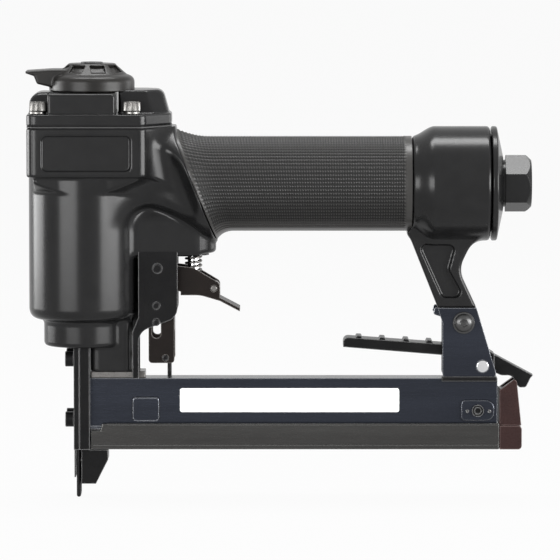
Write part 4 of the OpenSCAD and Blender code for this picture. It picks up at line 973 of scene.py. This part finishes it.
class STAPLER_OT_rail(bpy.types.Operator):
    """Finishes the rail, its stop plate and its tab, and lays the embossed square and the bare sticker"""

    bl_idname = "stapler.rail"
    bl_label = "Finish rail"

    def execute(self, context):
        dress(["magazine_rail"], "blued", 0.6)
        (x0, y0, z0), (x1, y1, z1) = extent("stop_plate")
        stop_line = [[x0, z0, 1.7], [x1, z0, 3.6], [x1, z1, 3.6], [x0, z1, 1.7]]
        stand_in(plate("stop_plate_skin", stop_line, y0, y1, 0.35), "stop_plate", "blued")
        for k, x in enumerate((160.9, 170.1)):
            settle(pressed_dimple(f"stop_dimple_{k}", x, y0, 30.7), "frame", "blued_steel", "dark_steel")
        emboss = plate("emboss", oblong(20.3, 31.7, 26.7, 36.7, 1.4), -6.95, RAIL_FACE, 0.6)
        settle(emboss, "frame", "blued_steel", "blued")
        sticker = plate("sticker", oblong(40.3, 132.3, 30.2, 40.3, 1), -6.42, RAIL_FACE, 0.05)
        settle(sticker, "frame", "blued_steel", "label")
        dress(["rail_tab"], "worn", 0.4)
        dress(["stop_screw"], "dark_steel", 0.2)
        return {"FINISHED"}


class STAPLER_OT_slide(bpy.types.Operator):
    """Finishes the sliding channel, its rims and beads, its end cap, and the pusher with its spring"""

    bl_idname = "stapler.slide"
    bl_label = "Finish slide"

    def execute(self, context):
        dress(["magazine_slide"], "slide", 0.5)
        high = extent("magazine_slide")[1]
        end, top, half = high[0] - 0.2, high[2], 0.4
        rows = {"slide_rim": (10, end, top - 0.9, top + 0.1, 0.3), "slide_bead": (4, end, 16.1, 16.9, 0.3)}
        for side in (-1, 1):
            y = side * high[1]
            for name, row in rows.items():
                bead = plate(f"{name}_{side}", oblong(*row), y - half, y + half, 0.35)
                settle(bead, "slide", "blued_steel", "slide")
        dress(["slide_end_cap"], "end_block", 0.6)
        strip = plate("end_strip", oblong(-5.9, 5.9, 26, 40, 0.5), 173.65, 174.4, 0.1, plane="yz")
        settle(strip, "slide", "black_plastic", "seal")
        coat(["staple_core", "pusher", "pusher_rod"], "spring")
        spring = coil(
            "pusher_spring_wire", radius=1.65, wire=0.3, low=21.4, high=173, turns=40, centre=(0, 0, 35.3),
            axis="x",
        )
        stand_in(spring, "pusher_spring", "spring")
        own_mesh(spring)
        return {"FINISHED"}


class STAPLER_OT_latch(bpy.types.Operator):
    """Finishes the rear bracket with its fold, darkened as painted shade, its ears and screw, and the latch
    with its ribs
    """

    bl_idname = "stapler.latch"
    bl_label = "Finish latch"

    def execute(self, context):
        dress(["rear_bracket"], "blued", 0.4)
        # The fold is a rounded strip in darker steel than the bracket: painted shade under the bracket's
        # lower edge.
        fold_line = [[150, 43.2, 0.6], [173.4, 43.2, 0.6], [173.2, 45.4, 0.6], [150, 45.4, 0.6]]
        settle(plate("bracket_fold_painted_shade", fold_line, -7.95, -7.2, 0.5), "frame", "blued_steel", "dark_steel")
        ear_line = [[146.4, 71.6, 1], [150, 70.4, 0.3], [150, 74, 0.3], [147.2, 74.6, 1]]
        ear_y, ear_half = 6.8, 0.6
        for side in (-1, 1):
            y = side * ear_y
            ear = plate(f"bracket_ear_{side}", ear_line, y - ear_half, y + ear_half, 0.25)
            settle(ear, "frame", "blued_steel", "blued")
        dress(["latch_lever"], "dark_steel", 0.6)
        rib_shape = [[-1.7, -1, 0.2], [1.7, -1.2, 0.2], [1, 0.6, 0.4], [-1, 0.7, 0.4]]
        lever_x, lever_z, lever_fall, rib_half = 110, 62, 0.063, 5
        for k, x in enumerate((115.4, 125.2, 135.1, 144.9)):
            z = lever_z - (x - lever_x) * lever_fall
            rib_line = [[x + dx, z + dz, r] for dx, dz, r in rib_shape]
            rib = plate(f"latch_rib_{k}", rib_line, -rib_half, rib_half, 0.2)
            settle(rib, "latch", slot_of("latch_lever"), "dark_steel")
        stand_in(button_screw(), "bracket_screw", "grey_steel")
        dress(["latch_pin"], "bright", 0.3)
        return {"FINISHED"}


class STAPLER_OT_inner(bpy.types.Operator):
    """Gives the drive inside the housing its finishes"""

    bl_idname = "stapler.inner"
    bl_label = "Finish drive"

    def execute(self, context):
        coat(["cylinder_sleeve", "piston", "head_valve"], "alloy")
        coat(["sleeve_ring", "bumper", "piston_ring", "end_cap_ring"], "seal")
        coat(["driver_blade"], "spring")
        spring = coil(
            "head_spring_wire", radius=8.4, wire=0.6, low=150.6, high=159.2, turns=4, centre=(0, 0, 0),
        )
        stand_in(spring, "head_valve_spring", "spring")
        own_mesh(spring)
        return {"FINISHED"}


class STAPLER_OT_stage(bpy.types.Operator):
    """Sets the floor, the lights and the camera"""

    bl_idname = "stapler.stage"
    bl_label = "Set stage"

    def execute(self, context):
        scene = context.scene
        scene.view_settings.view_transform = "Standard"
        lay_floor(scene.stapler_colours.floor)
        light_room()
        hang_lamp("top_box", (80, 120, 1150), aim_x=80, width=1.0, height=0.3, power=16)
        hang_lamp("front_left_box", (-540, -920, 150), aim_x=40, width=0.7, height=0.5, power=12)
        hang_lamp("front_right_box", (900, -545, 150), aim_x=60, width=0.8, height=0.5, power=20)
        hang_lamp("back_left_box", (-880, 300, 170), aim_x=40, width=0.6, height=0.55, power=11.5)
        hang_lamp("back_right_box", (1000, 515, 170), aim_x=100, width=0.4, height=0.55, power=2.5)
        set_camera()
        return {"FINISHED"}


# Studio


def direct_rays(tree):
    """A node that is 1 for camera, glossy and transmission rays, which see plain white, and else 0."""
    rays = tree.nodes.new("ShaderNodeLightPath")
    direct, through = (tree.nodes.new("ShaderNodeMath") for _ in range(2))
    direct.operation = through.operation = "MAXIMUM"
    tree.links.new(rays.outputs["Is Camera Ray"], direct.inputs[0])
    tree.links.new(rays.outputs["Is Glossy Ray"], direct.inputs[1])
    tree.links.new(direct.outputs[0], through.inputs[0])
    tree.links.new(rays.outputs["Is Transmission Ray"], through.inputs[1])
    return through


def lay_floor(colour):
    """A floor that curves up into a backdrop: flat in front, then a quarter circle, then a wall."""
    front, bend, bend_r, wall_top, half, level = -4000, 3000, 1500, 6000, 6000.0, -6.1
    glow_share = 0.95
    a = np.linspace(0, np.pi / 2, 24)
    y = np.concatenate([[front], bend + bend_r * np.sin(a), [bend + bend_r]])
    z = np.concatenate([[0], bend_r - bend_r * np.cos(a), [wall_top]]) + level
    x = np.array([-half, half])
    grid = np.stack(np.broadcast_arrays(x[None], y[:, None], z[:, None]), -1)
    floor = build("studio_floor", grid.reshape(-1, 3), [ring_faces(len(y), 2, closed=False)])
    white = Finish("studio_white", colour, 0, 0.9)
    glow = white.add("ShaderNodeEmission", Color=(1, 1, 1, 1), Strength=1.0)
    share = white.add("ShaderNodeMath", [(direct_rays(white.tree), 0, 0)], operation="MULTIPLY")
    share.inputs[1].default_value = glow_share
    mix = white.add("ShaderNodeMixShader", [(share, 0, 0), (white.shader, 0, 1), (glow, 0, 2)])
    white.tree.links.new(mix.outputs[0], white.tree.nodes["Material Output"].inputs[0])
    floor.data.materials.append(white.material)


def light_room():
    """A room that is white where it is seen, also in reflections, and dim as a light on the tool."""
    dim = 0.07
    world = bpy.data.worlds.new("studio_room")
    bpy.context.scene.world = world
    world.use_nodes = True
    tree = world.node_tree
    sky = tree.nodes["Background"]
    sky.inputs[0].default_value = (1, 1, 1, 1)
    level = tree.nodes.new("ShaderNodeMapRange")
    level.inputs["To Min"].default_value = dim
    level.inputs["To Max"].default_value = 1.0
    tree.links.new(direct_rays(tree).outputs[0], level.inputs[0])
    tree.links.new(level.outputs[0], sky.inputs[1])


def hang_lamp(name, place, aim_x, width, height, power):
    """A soft area lamp aimed at the tool: places in millimetres, sizes in metres and power in watts."""
    target = Vector((aim_x, 0, 100)) * MM
    data = bpy.data.lights.new(name, "AREA")
    data.shape = "RECTANGLE"
    data.size, data.size_y, data.energy = width, height, power
    lamp = bpy.data.objects.new(name, data)
    bpy.context.scene.collection.objects.link(lamp)
    lamp.location = Vector(place) * MM
    lamp.rotation_euler = (target - lamp.location).to_track_quat("-Z", "Y").to_euler()


def set_camera():
    """A long lens along +Y from a little above, with 235.2 mm across the picture at the tool's middle."""
    far, rise, across, sensor = 2000, np.radians(5), 235.2, 36
    target = Vector((82.3, 0, 85.3))
    data = bpy.data.cameras.new("camera")
    data.sensor_width = sensor
    data.lens = sensor * far / across
    data.clip_end = 100
    camera = bpy.data.objects.new("camera", data)
    bpy.context.scene.collection.objects.link(camera)
    camera.location = (target + Vector((0, -far * np.cos(rise), far * np.sin(rise)))) * MM
    camera.rotation_euler = (np.pi / 2 - rise, 0, 0)
    bpy.context.scene.camera = camera


# Sidebar and registration


class STAPLER_PT_panel(bpy.types.Panel):
    """The dressing steps in the sidebar"""

    bl_idname = "STAPLER_PT_panel"
    bl_label = "Stapler"
    bl_space_type = "VIEW_3D"
    bl_region_type = "UI"
    bl_category = "Stapler"

    def draw(self, context):
        for group in (context.scene.stapler_sizes, context.scene.stapler_colours):
            for key in group.__annotations__:
                self.layout.prop(group, key)
        for step in STEPS:
            self.layout.operator(step.bl_idname)


STEPS = (
    STAPLER_OT_finishes, STAPLER_OT_stage, STAPLER_OT_housing, STAPLER_OT_cap, STAPLER_OT_deflector,
    STAPLER_OT_grip, STAPLER_OT_handle_end, STAPLER_OT_trigger, STAPLER_OT_nose, STAPLER_OT_rail,
    STAPLER_OT_slide, STAPLER_OT_latch, STAPLER_OT_inner,
)
CLASSES = (StaplerSizes, StaplerColours, *STEPS, STAPLER_PT_panel)


def register():
    for cls in CLASSES:
        bpy.utils.register_class(cls)
    bpy.types.Scene.stapler_sizes = PointerProperty(type=StaplerSizes)
    bpy.types.Scene.stapler_colours = PointerProperty(type=StaplerColours)


def unregister():
    del bpy.types.Scene.stapler_colours
    del bpy.types.Scene.stapler_sizes
    for cls in reversed(CLASSES):
        bpy.utils.unregister_class(cls)


def main():
    register()
    for step in STEPS:
        group, name = step.bl_idname.split(".")
        getattr(getattr(bpy.ops, group), name)()


if __name__ == "__main__":
    main()
